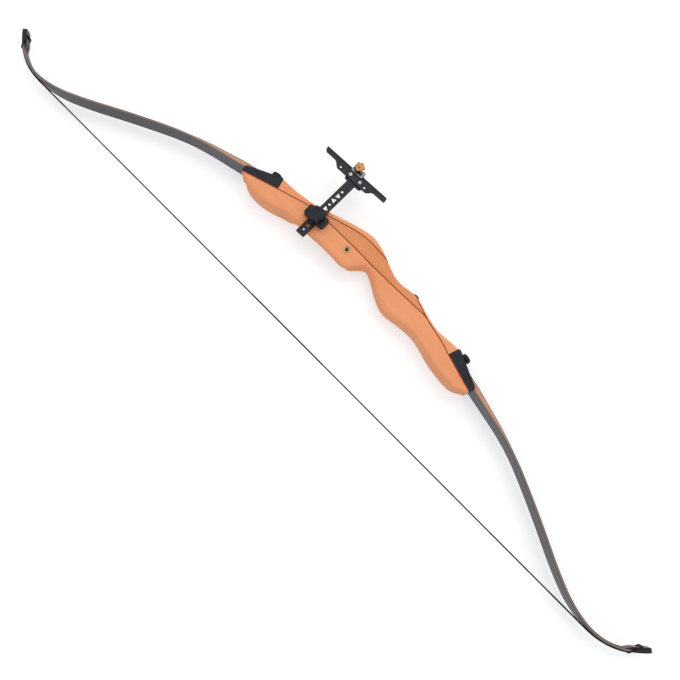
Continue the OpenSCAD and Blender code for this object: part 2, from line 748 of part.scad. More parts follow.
module limb_bolt(lower) {
    socket_d = 6;
    socket_depth = 4;
    color("black") placed() end_of_bow(lower) at_limb(0) difference() {
        union() {
            rod_x(bolt_d, -bolt_depth, neck_low + contact_gap);
            rod_x(neck_d, neck_low, knob_low + knob_round);
            translate([knob_low, 0, 0]) knob_body();
        }
        for (i = [0:flute_count - 1]) rotate([360 * i / flute_count, 0, 0])
            translate([0, 0, knob_d / 2 + flute_d / 2 - 0.8]) rod_x(flute_d, knob_low - overshoot, through);
        translate([knob_low + knob_h - socket_depth, 0, 0]) rotate([0, 90, 0])
            cylinder(d = socket_d, h = knob_h, $fn = 6);
    }
}

// String
serving_r = serving_d / 2;
cord_gap = 0.1;
loop_reach = 13;
loop_corner_r = 2.4;
loop_low = limb_point(nock_s - loop_reach, -serving_r - cord_gap);
loop_high = limb_point(nock_s + loop_reach, blade_t + overlay_t + serving_r + cord_gap);
loop_half = norm(loop_high - loop_low) / 2;
loop_half_w = limb_tip_w / 2 - nock_depth + serving_r + cord_gap;
contact_y = limb_trace[contact_i][1];
strand_half = contact_y - end_serving_len;
serving_route = concat(
    [[string_x, strand_half], [string_x, (strand_half + contact_y) / 2], [string_x, contact_y]],
    [for (s = steps(contact_s + 8, nock_s - loop_reach, 8)) limb_point(s, -serving_r)]
);
loop_route = [for (q = [0:3], a = [0:30:90]) loop_corner(q) + loop_corner_r * [cos(90 * q + a), sin(90 * q + a)]];

function loop_corner(q) = [
    (q == 0 || q == 3 ? 1 : -1) * (loop_half - loop_corner_r),
    (q < 2 ? 1 : -1) * (loop_half_w - loop_corner_r)
];
function way(a, b) = (b - a) / norm(b - a);
function way_at(route, i) = way(route[max(i - 1, 0)], route[min(i + 1, len(route) - 1)]);
function way_round(route, i) = way(route[(i + len(route) - 1) % len(route)], route[(i + 1) % len(route)]);
function hoop(p, t) = [for (k = [0:serving_side - 1]) let (a = 360 * k / serving_side)
    [p[0] + serving_r * cos(a) * t[1], p[1] - serving_r * cos(a) * t[0], -serving_r * sin(a)]];

module at_loop() {
    mid = (loop_low + loop_high) / 2;
    reach = loop_high - loop_low;
    translate([mid[0], mid[1], 0]) rotate([0, 0, atan2(reach[1], reach[0])]) rotate([90, 0, 0]) children();
}

module nock_grooves() {
    wide = serving_d + 0.6;
    at_loop() for (side = [0, 180]) rotate([side, 0, 0])
        translate([-loop_half * 2, limb_tip_w / 2 - nock_depth, -wide / 2])
            cube([loop_half * 4, limb_tip_w, wide]);
}

module bowstring() {
    color("black") placed() translate([string_x, 0, 0]) rod_y(string_d, -strand_half, strand_half);
}

module center_serving() {
    color("black") placed() translate([string_x, center_serving_y, 0]) difference() {
        rod_y(serving_d, -center_serving_len / 2, center_serving_len / 2);
        rod_y(string_d, -center_serving_len, center_serving_len);
    }
}

module end_serving(lower) {
    hoops = [for (i = [0:len(loop_route) - 1]) hoop(loop_route[i], way_round(loop_route, i))];
    n = serving_side;
    k = len(hoops);
    close = flat([for (j = [0:n - 1])
        let (a = (k - 1) * n + j, b = (k - 1) * n + (j + 1) % n, c = j, d = (j + 1) % n) [[a, c, b], [b, c, d]]]);
    color("black") placed() end_of_bow(lower) {
        skin([for (i = [0:len(serving_route) - 1]) hoop(serving_route[i], way_at(serving_route, i))]);
        at_loop() polyhedron(points = flat(hoops), faces = concat(side_faces(k, n), close));
    }
}

// Bow sight
bar_top = bar_z + bar_t;
clamp_pad_z = bar_top + slide_gap;
clamp_lift = 1.2;
clamp_knob_z = block_top_z + 1.5;
bar_corner_r = 2;
head_reach = 25.5;
head_corner_r = 5;
head_margin = 8;
head_shift = 2;
head_rear_x = elevation_front_x - head_reach;
head_front_x = elevation_front_x - carriage_lip - overshoot;
cutout_count = 10;
cutout_first = 11.8;
triangle_d = 13;
bar_screw_d = 4;
bar_screw_head = 7;
bar_screw_head_h = 1.8;
bar_screw_setback = 13;
bar_screw_x = elevation_front_x - bar_screw_setback;
head_y = sight_y - head_shift;
head_half = bar_screw_pitch / 2 + head_margin;
socket_across = 2.8;
socket_sink = 1;
spare_hole_half = 31;
spare_hole_d = 4.5;
spare_hole_shift = 1.5;
slant = 6;
end_cut = 1.5;
shoulder_fall = 12;
shoulder_rise = 8;
shoulder_lead = 2;
shoulder_tail = 3;
shoulder_skew = 1;
key_setback = 4;
key_x = elevation_front_x - key_setback;
key_w = 2;
key_depth = 0.6;
carriage_rear_x = elevation_front_x - carriage_lip;
lock_screw_d = 3;
lock_screw_head = 7.5;
lock_screw_inset = 4.5;
lock_screw_y = carriage_y - carriage_len / 2 + lock_screw_inset;
lock_screw_z = elevation_z + elevation_t / 2;
carriage_corner_r = 1.5;
pin_boss_half = 5.5;
pin_boss_wall = 1.5;
pin_boss_r = 2;
recess_len = 18;
recess_depth = 1.2;
recess_margin = 2;

module sight_mount_block() {
    roof_low = clamp_pad_z + pad_t + clamp_lift + 0.2;
    half = block_len / 2;
    color("#202024") placed() tilted() difference() {
        plate(block_x - block_w / 2, block_x + block_w / 2, sight_y - half, sight_y + half, block_z, block_top_z, 4);
        translate([0, sight_y - bar_w / 2 - slide_gap, bar_z - slide_gap])
            cube([through, bar_w + 2 * slide_gap, bar_t + 2 * slide_gap]);
        translate([block_x, sight_y, 0]) {
            rod_z(clamp_pad_d + 2 * running_gap, bar_z, roof_low);
            rod_z(clamp_stud_d + 2 * running_gap, bar_z, through);
        }
        mount_screw_places() {
            rod_z(mount_screw_d, 0, through);
            cone_z(mount_screw_d, mount_screw_head, block_top_z);
        }
    }
}

module sight_mount_screws() {
    color("#202024") placed() tilted() mount_screw_places() difference() {
        union() {
            rod_z(mount_screw_d, block_z - mount_screw_depth, block_top_z);
            cone_z(mount_screw_d, mount_screw_head, block_top_z);
        }
        translate([0, 0, block_top_z - socket_sink]) cylinder(d = socket_across, h = 2 * socket_sink, $fn = 6);
    }
}

module sight_clamp_pad() {
    color("silver") placed() tilted() translate([block_x, sight_y, 0])
        rod_z(clamp_pad_d, clamp_pad_z, clamp_pad_z + pad_t);
}

module sight_clamp_knob() {
    lobes = 8;
    scallop_d = 11;
    top = clamp_knob_z + clamp_knob_h;
    color("#181818") placed() tilted() translate([block_x, sight_y, 0]) difference() {
        union() {
            rod_z(clamp_stud_d, clamp_pad_z + pad_t + contact_gap, clamp_knob_z + contact_gap);
            rod_z(clamp_knob_d, clamp_knob_z, top - 2);
            translate([0, 0, top - 2]) cylinder(d1 = clamp_knob_d, d2 = clamp_knob_d - 4, h = 2);
        }
        for (i = [0:lobes - 1]) rotate([0, 0, 360 * (i + 0.5) / lobes])
            translate([clamp_knob_d / 2 + scallop_d / 2 - 1.6, 0, 0]) rod_z(scallop_d, clamp_knob_z - overshoot, through);
        rod_z(clamp_knob_d - 14, top - 1.2, through);
    }
}

module bar_screw_places() {
    for (side = [-1, 1]) translate([bar_screw_x, sight_y + side * bar_screw_pitch / 2, 0]) children();
}

module sight_extension_bar() {
    color("#242428") placed() tilted() difference() {
        union() {
            plate(bar_rear_x, head_rear_x + 2 * bar_corner_r, sight_y - bar_w / 2, sight_y + bar_w / 2,
                bar_z, bar_top, bar_corner_r);
            plate(head_rear_x, head_front_x, head_y - head_half, head_y + head_half, bar_z, bar_top, head_corner_r);
        }
        for (i = [0:cutout_count - 1])
            translate([bar_rear_x + cutout_first + i * cutout_pitch, sight_y, bar_z - overshoot])
                if (i % 3 == 0) cylinder(d = cutout_d, h = bar_t + 2 * overshoot);
                else rotate([0, 0, i % 3 == 1 ? 90 : -90])
                    cylinder(d = triangle_d, h = bar_t + 2 * overshoot, $fn = 3);
        bar_screw_places() rod_z(bar_screw_d, 0, through);
    }
}

module sight_elevation_bar() {
    low_y = elevation_y - elevation_len / 2;
    high_y = elevation_y + elevation_len / 2;
    arm_x = elevation_front_x - elevation_arm_w;
    mid_rear_x = elevation_front_x - elevation_mid_w;
    mid_low = elevation_y - elevation_mid_len / 2;
    mid_high = elevation_y + elevation_mid_len / 2;
    color("#242428") placed() tilted() difference() {
        translate([0, 0, elevation_z]) linear_extrude(elevation_t) polygon([
            [elevation_front_x, low_y + end_cut], [elevation_front_x, high_y],
            [(elevation_front_x + arm_x) / 2 - end_cut, high_y - end_cut], [arm_x, high_y - slant],
            [arm_x, mid_high], [arm_x - shoulder_lead, mid_high - shoulder_fall / 3],
            [mid_rear_x + shoulder_skew, mid_high - shoulder_fall],
            [mid_rear_x, mid_high - shoulder_fall - shoulder_tail],
            [mid_rear_x, mid_low + shoulder_rise + shoulder_tail],
            [mid_rear_x + shoulder_skew, mid_low + shoulder_rise],
            [arm_x - end_cut, mid_low + end_cut], [arm_x, mid_low - shoulder_lead], [arm_x, low_y + end_cut / 2],
            [arm_x + end_cut, low_y], [(elevation_front_x + arm_x) / 2, low_y]
        ]);
        for (z = [elevation_z - key_depth, elevation_z + elevation_t - key_depth])
            translate([key_x - key_w / 2, low_y - overshoot, z])
                cube([key_w, elevation_len + 2 * overshoot, 2 * key_depth]);
        bar_screw_places() rod_z(bar_screw_d, 0, through);
        for (side = [-1, 1])
            translate([bar_screw_x - spare_hole_shift, elevation_y + side * spare_hole_half, 0])
                rod_z(spare_hole_d, 0, through);
    }
}

module sight_bar_screws() {
    top = elevation_z + elevation_t;
    color("silver") placed() tilted() bar_screw_places() difference() {
        union() {
            rod_z(bar_screw_d, bar_z, top);
            rod_z(bar_screw_head, top, top + bar_screw_head_h);
        }
        translate([0, 0, top + bar_screw_head_h - socket_sink])
            cylinder(d = socket_across, h = 2 * socket_sink, $fn = 6);
    }
}

module sight_carriage() {
    low_y = carriage_y - carriage_len / 2;
    high_y = carriage_y + carriage_len / 2;
    key_gap = slide_gap;
    color("gainsboro") placed() tilted() difference() {
        union() {
            plate(carriage_rear_x, carriage_front_x, low_y, high_y, carriage_z, carriage_z + carriage_h,
                carriage_corner_r);
            plate(elevation_front_x + overshoot, pin_x + pin_d / 2 + pin_boss_wall,
                pin_y - pin_boss_half, pin_y + pin_boss_half, carriage_z, carriage_z + carriage_h, pin_boss_r);
        }
        difference() {
            translate([0, low_y - overshoot, elevation_z - slide_gap])
                cube([elevation_front_x + slide_gap, carriage_len + 2 * overshoot, elevation_t + 2 * slide_gap]);
            for (z = [elevation_z - 2 * slide_gap, elevation_z + elevation_t - key_depth + key_gap])
                translate([key_x - key_w / 2 + key_gap, low_y - overshoot, z])
                    cube([key_w - 2 * key_gap, carriage_len + 2 * overshoot, key_depth + slide_gap]);
        }
        translate([pin_x, pin_y, 0]) rod_z(pin_d + 2 * running_gap, 0, through);
        translate([0, lock_screw_y, lock_screw_z]) rod_x(lock_screw_d, elevation_front_x, through);
        translate([carriage_rear_x + recess_margin, carriage_y - recess_len / 2,
            carriage_z + carriage_h - recess_depth])
            cube([carriage_lip - overshoot, recess_len, 2 * recess_depth]);
    }
}

module carriage_lock_screw() {
    notches = 12;
    head_h = 4.5;
    color("silver") placed() tilted() translate([0, lock_screw_y, lock_screw_z]) {
        rod_x(lock_screw_d, elevation_front_x + slide_gap, carriage_front_x);
        difference() {
            rod_x(lock_screw_head, carriage_front_x, carriage_front_x + head_h);
            for (i = [0:notches - 1]) rotate([360 * i / notches, 0, 0])
                translate([0, 0, lock_screw_head / 2 + 0.3]) rod_x(1.2, carriage_front_x + 1, through);
        }
    }
}

// Windage pin and its nuts
ring_len = 5;
ring_wall = 2.5;
ring_boss_d = pin_d + 2;
pin_low_z = ring_d / 2 + 0.5;
star_low = carriage_z + carriage_h + contact_gap;
star_collar_h = 1.2;
star_h = 6;
lock_nut_d = 13;
lock_nut_h = 7;

module at_windage() {
    placed() tilted() translate([pin_x, pin_y, 0]) children();
}

module windage_pin() {
    color("goldenrod") at_windage() rod_z(pin_d, pin_low_z, pin_low_z + pin_len);
}

module windage_star_nut() {
    lobes = 6;
    scallop_d = 7;
    color("goldenrod") at_windage() difference() {
        union() {
            rod_z(star_nut_d - 6, star_low, star_low + star_collar_h + overshoot);
            rod_z(star_nut_d, star_low + star_collar_h, star_low + star_collar_h + star_h);
        }
        for (i = [0:lobes - 1]) rotate([0, 0, 360 * (i + 0.5) / lobes])
            translate([star_nut_d / 2 + 1.5, 0, 0]) rod_z(scallop_d, star_low + star_collar_h, through);
        rod_z(pin_d + 2 * running_gap, 0, through);
    }
}

module windage_lock_nut() {
    top = carriage_z - contact_gap;
    notches = 16;
    color("goldenrod") at_windage() difference() {
        rod_z(lock_nut_d, top - lock_nut_h, top);
        for (i = [0:notches - 1]) rotate([0, 0, 360 * i / notches])
            translate([lock_nut_d / 2 + 0.6, 0, 0]) rod_z(2, top - lock_nut_h - overshoot, top - 1.5);
        rod_z(pin_d + 2 * running_gap, 0, through);
    }
}

module sight_aperture() {
    color("black") at_windage() difference() {
        union() {
            rod_x(ring_d, -ring_len / 2, ring_len / 2);
            rod_z(ring_boss_d, ring_d / 2 - ring_wall / 2, pin_low_z + 3);
        }
        rod_x(ring_d - 2 * ring_wall, -ring_len, ring_len);
        rod_z(pin_d, pin_low_z, through);
    }
}

// Arrow rest on the wall of the sight window
rest_base_t = 1.5;
rest_wire_d = 1.6;
rest_eye_d = 3.2;
rest_pivot_x = plunger_x + 11;
rest_pivot_z = window_past_center - rest_base_t - rest_eye_d / 2 - 0.1;
rest_y = plunger_y - rest_drop;
rest_ear_half = 6;
rest_eye_half = 3;
rest_lean = 24;

module at_rest_pivot() {
    placed() translate([rest_pivot_x, rest_y, rest_pivot_z]) children();
}

module arrow_rest_base() {
    wall = window_past_center;
    color("black") difference() {
        union() {
            placed() plate(plunger_x - 15, plunger_x + 15, rest_y - 7, plunger_y + 8, wall - rest_base_t, wall, 2);
            at_rest_pivot() for (from = [-rest_ear_half, rest_eye_half + 0.1]) {
                rod_y(rest_eye_d, from, from + rest_ear_half - rest_eye_half - 0.1);
                translate([-rest_eye_d / 2, from, 0])
                    cube([rest_eye_d, rest_ear_half - rest_eye_half - 0.1, rest_eye_d / 2 + 0.1]);
            }
        }
        at_rest_pivot() rod_y(rest_wire_d, -rest_ear_half - overshoot, rest_ear_half + overshoot);
        placed() translate([plunger_x, plunger_y, 0]) rod_z(thread_d + 2, 0, through);
    }
}

module arrow_rest_pin() {
    color("silver") at_rest_pivot() rod_y(rest_wire_d, -rest_ear_half, rest_ear_half);
}

module arrow_rest_arm() {
    color("silver") at_rest_pivot() difference() {
        union() {
            rod_y(rest_eye_d, -rest_eye_half, rest_eye_half);
            rotate([0, rest_lean, 0]) {
                rod_z(rest_wire_d, -rest_arm_len, 0);
                translate([0, 0, -rest_arm_len]) rotate([60, 0, 0]) rod_z(rest_wire_d, -3, 0);
                translate([0, 0, -rest_arm_len]) sphere(d = rest_wire_d);
            }
        }
        rod_y(rest_wire_d + 2 * running_gap, -2 * rest_eye_half, 2 * rest_eye_half);
    }
}

riser_core();
riser_center_wedge();
riser_upper_back();
riser_lower_back();
veneer_upper();
veneer_center();
veneer_lower();
plunger_bushing();
stabilizer_insert();
bolt_insert(false);  // upper_bolt_insert
limb_pocket(false);  // upper_limb_pocket
pocket_screws(false);  // upper_pocket_screws
locating_pin(false);  // upper_locating_pin
limb_belly_glass(false);  // upper_belly_glass
limb_core(false);  // upper_limb_core
limb_wedge(false);  // upper_limb_wedge
limb_back_glass(false);  // upper_back_glass
tip_overlay(false);  // upper_tip_overlay
limb_washer(false);  // upper_limb_washer
limb_bolt(false);  // upper_limb_bolt
end_serving(false);  // upper_end_serving
bolt_insert(true);  // lower_bolt_insert
limb_pocket(true);  // lower_limb_pocket
pocket_screws(true);  // lower_pocket_screws
locating_pin(true);  // lower_locating_pin
limb_belly_glass(true);  // lower_belly_glass
limb_core(true);  // lower_limb_core
limb_wedge(true);  // lower_limb_wedge
limb_back_glass(true);  // lower_back_glass
tip_overlay(true);  // lower_tip_overlay
limb_washer(true);  // lower_limb_washer
limb_bolt(true);  // lower_limb_bolt
end_serving(true);  // lower_end_serving
bowstring();
center_serving();
sight_mount_block();
sight_mount_screws();
sight_clamp_pad();
sight_clamp_knob();
sight_extension_bar();
sight_elevation_bar();
sight_bar_screws();
sight_carriage();
carriage_lock_screw();
windage_pin();
windage_star_nut();
windage_lock_nut();
sight_aperture();
arrow_rest_base();
arrow_rest_arm();
arrow_rest_pin();
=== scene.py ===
"""Looks of a wooden takedown recurve bow and its sight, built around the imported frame."""

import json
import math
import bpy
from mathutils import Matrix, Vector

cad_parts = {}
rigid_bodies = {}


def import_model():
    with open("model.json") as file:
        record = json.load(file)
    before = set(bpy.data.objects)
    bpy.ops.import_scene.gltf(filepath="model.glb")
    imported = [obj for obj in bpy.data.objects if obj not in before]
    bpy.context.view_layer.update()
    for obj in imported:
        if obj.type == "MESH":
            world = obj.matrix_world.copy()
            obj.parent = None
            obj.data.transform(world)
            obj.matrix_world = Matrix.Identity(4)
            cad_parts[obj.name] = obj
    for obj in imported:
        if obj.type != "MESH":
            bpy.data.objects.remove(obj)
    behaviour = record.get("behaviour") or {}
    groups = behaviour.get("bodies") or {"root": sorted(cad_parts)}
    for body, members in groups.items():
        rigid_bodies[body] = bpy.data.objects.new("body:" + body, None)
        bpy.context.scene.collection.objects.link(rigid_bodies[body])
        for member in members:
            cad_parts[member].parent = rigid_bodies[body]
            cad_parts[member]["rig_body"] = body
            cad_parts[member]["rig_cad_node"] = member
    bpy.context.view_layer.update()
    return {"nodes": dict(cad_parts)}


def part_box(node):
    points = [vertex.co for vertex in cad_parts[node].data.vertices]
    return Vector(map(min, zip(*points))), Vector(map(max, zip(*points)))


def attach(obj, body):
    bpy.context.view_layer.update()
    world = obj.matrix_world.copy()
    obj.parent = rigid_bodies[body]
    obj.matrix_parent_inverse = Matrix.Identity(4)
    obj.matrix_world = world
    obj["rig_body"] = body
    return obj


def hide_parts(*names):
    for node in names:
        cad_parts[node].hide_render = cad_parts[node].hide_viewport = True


bl_info = {
    "name": "Recurve bow looks",
    "version": (1, 0, 0),
    "blender": (4, 5, 0),
    "location": "View3D > Sidebar > Bow",
    "description": "Finishes, rounded edges, twisted string, floor, light and camera of the bow",
    "category": "Object",
}

import bpy
from bpy.props import FloatProperty, FloatVectorProperty, IntProperty, PointerProperty
from mathutils import Matrix, Vector

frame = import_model()

MM = 0.001
ENDS = ("upper", "lower")
TURNED_TO = {"X": (0, math.pi / 2, 0), "Y": (-math.pi / 2, 0, 0), "Z": (0, 0, 0)}

# Copies of CAD nodes: points this near in millimetres are merged, faces this flat become one,
# and shading runs smoothly over edges flatter than these angles in degrees
MERGE_WITHIN = 0.01
FLAT_WITHIN = math.radians(0.3)
QUAD_WITHIN = math.radians(60)
NORMAL_WEIGHT = 50
SMOOTH_BELOW = {"rounded": 60, "riser": 38, "thread": 40, "strands": 70, "loop": 75, "serving": 80}

# Threads, strands and servings: lengths in millimetres, and shares of a pitch or a thread
THREAD_BORE = 7.0
THREAD_PITCH = 1.06
THREAD_FILL = 0.95
THREAD_DEPTH = {"plunger_bushing": 19.0, "stabilizer_insert": 16.0}
STRAND_TUCK = 15.0
SERVING_OVERLAP = 1.04
END_SERVING_STRAIGHT = 80.0
PIN_THREAD_DEPTH = 0.45

# The sight's small parts, in millimetres from the foot of its mount block
BAR_TILT = math.radians(1.7)
STOP_SCREW = {"place": (-34.7, 0.0, 6.5), "radius": 2.7, "height": 1.6, "edge": 1.2}
# The dark strip in the carriage's recess is painted shade for the hollow
CARRIAGE_RECESS_SHADE = {"place": (119.5, 4.5, 11.8), "size": (4.8, 17.8, 0.9), "edge": 0.15}

# How far each pattern is drawn out along the bow, how fine it is, and its share of the tone
WOOD = {
    "drift": {"stretch": 0.05, "scale": 24.0, "reach": (0.016, 0.0, 0.016)},
    "rings": {"per_spacing": 0.314, "distortion": 1.2, "detail_scale": 1.4, "share": 0.7},
    "pores": {"stretch": 0.03, "scale": 1400.0, "share": 0.26, "height": 0.7},
    "flecks": {"stretch": 0.2, "scale": 330.0, "share": 0.12},
    "patches": {"stretch": 0.14, "scale": 30.0, "share": 0.42},
    "roughness": (0.46, 0.62),
}
SURFACE = {
    "patches": {"scale": 38.0, "share": 0.45},
    "scuffs": {"stretch": 0.25, "scale": 240.0, "share": 0.5},
    "worn_roughness": -0.14,
    "grain_roughness": 0.08,
}
FIBRES = {
    "fibres": {"stretch": 0.012, "scale": 1100.0, "share": 0.6},
    "bands": {"stretch": 0.03, "scale": 160.0, "share": 0.4},
    "roughness": (0.32, 0.48),
}
MARKS = {
    "lines": {"across": 0.08, "scale": 2600.0, "roughness": 0.1},
    "stains": {"scale": 130.0, "roughness": 0.2},
}
# Fuzz of the serving thread, and how strongly painted shade darkens the grooves between its turns
LAY = {"fuzz_scale": 2200.0, "fuzz_share": 0.5, "groove_shade_share": 0.7}

# How softly the dip over the tips begins, in millimetres
DIP_EDGE = 0.6

# The floor and the picture, in metres where they are lengths
FLOOR_RADIUS = 7
FLOOR_DROP = 0.0002
SENSOR_WIDTH = 36.0
NEAREST, FARTHEST = 0.01, 50.0


def colour(red, green, blue):
    """A colour as a picture shows it, 0 to 255, in the linear values that shaders take."""
    shares = [value / 255 for value in (red, green, blue)]
    return tuple(s / 12.92 if s < 0.04045 else ((s + 0.055) / 1.055) ** 2.4 for s in shares)


def tint(name, description, red, green, blue):
    """A colour property with its default."""
    return FloatVectorProperty(name=name, description=description, subtype="COLOR", size=3,
                               min=0.0, max=1.0, default=colour(red, green, blue))


def length(name, description, millimetres):
    """A length property with its default."""
    return FloatProperty(name=name, description=description, unit="LENGTH",
                         min=0.0, default=millimetres * MM)


def share(name, description, default):
    """A factor from 0 to 1 with its default."""
    return FloatProperty(name=name, description=description, subtype="FACTOR",
                         min=0.0, max=1.0, default=default)


class RiserLooks(bpy.types.PropertyGroup):
    """Colours and grain of the riser's woods"""

    wood: tint("Wood", "Main wood of the riser", 242, 164, 116)
    wood_dark: tint("Dark grain", "Late wood and flecks of the main wood", 224, 138, 92)
    wedge: tint("Wedge", "Wood between the veneers", 231, 151, 101)
    wedge_dark: tint("Wedge grain", "Late wood and flecks of the wedge", 205, 123, 74)
    veneer: tint("Veneer", "Dark veneers between the woods", 158, 72, 37)
    veneer_dark: tint("Veneer grain", "Grain of the veneers", 118, 46, 20)
    spacing: length("Grain spacing", "Distance between two growth rings", 3.4)
    lacquer: share("Lacquer", "Weight of the lacquer's gloss", 0.06)


class LimbLooks(bpy.types.PropertyGroup):
    """Colours of the limbs, their pockets and bolts"""

    belly: tint("Belly glass", "Glass face towards the archer", 54, 51, 57)
    back: tint("Back glass", "Glass face towards the target", 58, 40, 31)
    core: tint("Core", "Wood core between the glass faces", 140, 123, 113)
    wedge: tint("Butt wedge", "Wood wedge that fades out past the riser", 207, 156, 124)
    pocket: tint("Pocket", "Moulded plastic of the limb pockets", 24, 26, 36)
    knob: tint("Knob", "Plastic of the limb bolts' knobs", 20, 21, 26)
    dip: tint("Tip dip", "Black dip over the limbs' tips", 34, 33, 38)
    dip_start: length("Start of the dip", "Distance from the middle of the bow to the dip", 811)
    edge_round: length("Pocket rounding", "Rounding of the pockets' edges", 0.9)


class StringLooks(bpy.types.PropertyGroup):
    """Make of the bowstring"""

    strands: IntProperty(name="Strands", description="Strands of the string", min=3, default=12)
    twist: length("Twist", "Length of string in which the strands turn once", 60)
    strand: length("Strand diameter", "Diameter of one strand", 0.8)
    fullness: length("Fullness", "How far the loose strands stand out past the drawn string", 0.25)
    thread: length("Serving thread", "Diameter of the serving thread", 0.5)
    yarn: tint("Yarn", "Waxed yarn of the strands", 17, 17, 19)
    serving: tint("Serving", "Thread of the servings", 20, 21, 24)


class SightLooks(bpy.types.PropertyGroup):
    """Metals and plastics of the sight"""

    anodised: tint("Anodised", "Black anodised bars", 36, 35, 42)
    block: tint("Mount block", "Coated metal of the mount block", 24, 27, 36)
    knob: tint("Knob", "Plastic of the clamp knob", 22, 25, 36)
    brass: tint("Brass", "Brass nuts and pin", 178, 132, 92)
    bushing: tint("Bushing", "Pale brass of the plunger bushing", 170, 142, 100)
    steel: tint("Steel", "Bright screws", 164, 163, 168)
    silver: tint("Silver", "Blasted metal of the carriage", 128, 126, 131)
    edge_round: length("Edge rounding", "Rounding of the bars' edges", 0.35)
    pin_pitch: length("Pin thread", "Distance between two turns of the pin's thread", 0.8)


class StageLooks(bpy.types.PropertyGroup):
    """Floor, light and camera"""

    camera_place: FloatVectorProperty(name="Camera", description="Place of the camera",
                                      subtype="TRANSLATION", size=3, default=(-0.3308, -0.2179, 1.3022))
    camera_forward: FloatVectorProperty(name="View direction", description="Where the camera looks",
                                        subtype="DIRECTION", size=3, default=(0.172365, 0.117383, -0.978014))
    camera_down: FloatVectorProperty(name="Picture down", description="Downwards in the picture",
                                     subtype="DIRECTION", size=3, default=(-0.684544, -0.699665, -0.204618))
    focal: FloatProperty(name="Focal length", description="In widths of the picture",
                         min=0.1, default=694.7 / 680)
    floor: tint("Floor", "Plain pale floor", 226, 227, 230)
    shade: tint("Shade", "How much of each colour a deep shadow takes from the floor", 206, 206, 204)
    white: FloatProperty(name="Floor level", description="Level of the floor in full light, 1 is white",
                         min=1.0, default=1.12)
    sun: FloatProperty(name="Sun", description="Strength of the wide soft lamp", min=0.0, default=0.7)
    sun_width: FloatProperty(name="Sun width", description="How wide the lamp looks from the bow",
                             subtype="ANGLE", min=0.0, default=math.radians(40))
    sun_from: FloatVectorProperty(name="Sun from", description="Where the lamp stands",
                                  subtype="DIRECTION", size=3, default=(0.62, 0.18, 1.0))
    sun_tint: tint("Sun tint", "Colour of the lamp", 255, 247, 240)
    sky: FloatProperty(name="Sky light", description="Strength of the light from all round",
                       min=0.0, default=0.83)
    sky_tint: tint("Sky tint", "Colour of the light from all round", 250, 253, 255)


# Helpers for selecting, copying and rounding

def alone(piece):
    """Selects one object and nothing else."""
    bpy.ops.object.select_all(action="DESELECT")
    piece.select_set(True)
    bpy.context.view_layer.objects.active = piece


def editing(piece):
    """Opens one object in edit mode with all of it selected."""
    alone(piece)
    bpy.ops.object.mode_set(mode="EDIT")
    bpy.ops.mesh.select_mode(type="FACE")
    bpy.ops.mesh.select_all(action="SELECT")


def finished_copy(node):
    """A copy of a CAD node that shades can run smoothly over: merged, and with its flat faces whole."""
    alone(frame["nodes"][node])
    bpy.ops.object.duplicate()
    piece = bpy.context.active_object
    piece.name = node + "_finished"
    piece.data.name = piece.name
    body = piece["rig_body"]
    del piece["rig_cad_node"]
    piece.parent = None
    editing(piece)
    bpy.ops.mesh.remove_doubles(threshold=MERGE_WITHIN * MM)
    bpy.ops.mesh.dissolve_limited(angle_limit=FLAT_WITHIN)
    bpy.ops.object.mode_set(mode="OBJECT")
    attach(piece, body)
    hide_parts(node)
    return piece


def apply_modifier(piece, kind, **settings):
    """Adds one modifier to a piece and applies it."""
    alone(piece)
    bpy.ops.object.modifier_add(type=kind)
    modifier = piece.modifiers[-1]
    for key, value in settings.items():
        setattr(modifier, key, value)
    bpy.ops.object.modifier_apply(modifier=modifier.name)


def round_edges(piece, width, segments=2, sharper=32):
    """Rounds the edges of a piece that are sharper than an angle, and keeps its flats flat."""
    apply_modifier(piece, "BEVEL", width=width, segments=segments, limit_method="ANGLE",
                   angle_limit=math.radians(sharper), use_clamp_overlap=True)
    level_shading(piece, SMOOTH_BELOW["rounded"])


def level_shading(piece, angle):
    """Shades a piece smoothly and keeps its large faces flat to the light."""
    smooth(piece, angle)
    apply_modifier(piece, "WEIGHTED_NORMAL", weight=NORMAL_WEIGHT, keep_sharp=True)


def coil(name, axis, foot, length, turns, reach, thick, sides=6, steps=12, phase=0.0):
    """A thread wound round a line along an axis: a small ring carried up and round it by a screw."""
    bpy.ops.object.select_all(action="DESELECT")
    bpy.ops.mesh.primitive_circle_add(vertices=sides, radius=thick / 2, location=(reach, 0, 0),
                                      rotation=(math.radians(90), 0, 0))
    piece = bpy.context.active_object
    piece.name = name
    bpy.ops.object.transform_apply()
    apply_modifier(piece, "SCREW", axis="Z", angle=2 * math.pi, screw_offset=length / turns,
                   iterations=turns, steps=steps, render_steps=steps, use_merge_vertices=False)
    editing(piece)
    bpy.ops.mesh.fill_holes(sides=sides)
    bpy.ops.mesh.select_all(action="SELECT")
    bpy.ops.mesh.normals_make_consistent(inside=False)
    bpy.ops.object.mode_set(mode="OBJECT")
    piece.rotation_euler = (0, 0, phase)
    bpy.ops.object.transform_apply()
    piece.rotation_euler = TURNED_TO[axis]
    piece.location = foot
    bpy.ops.object.transform_apply()
    piece.data.name = name
    return piece


def joined(name, pieces):
    """One piece of several."""
    bpy.ops.object.select_all(action="DESELECT")
    for piece in pieces:
        piece.select_set(True)
    bpy.context.view_layer.objects.active = pieces[0]
    bpy.ops.object.join()
    made = bpy.context.active_object
    made.name = name
    made.data.name = name
    return made


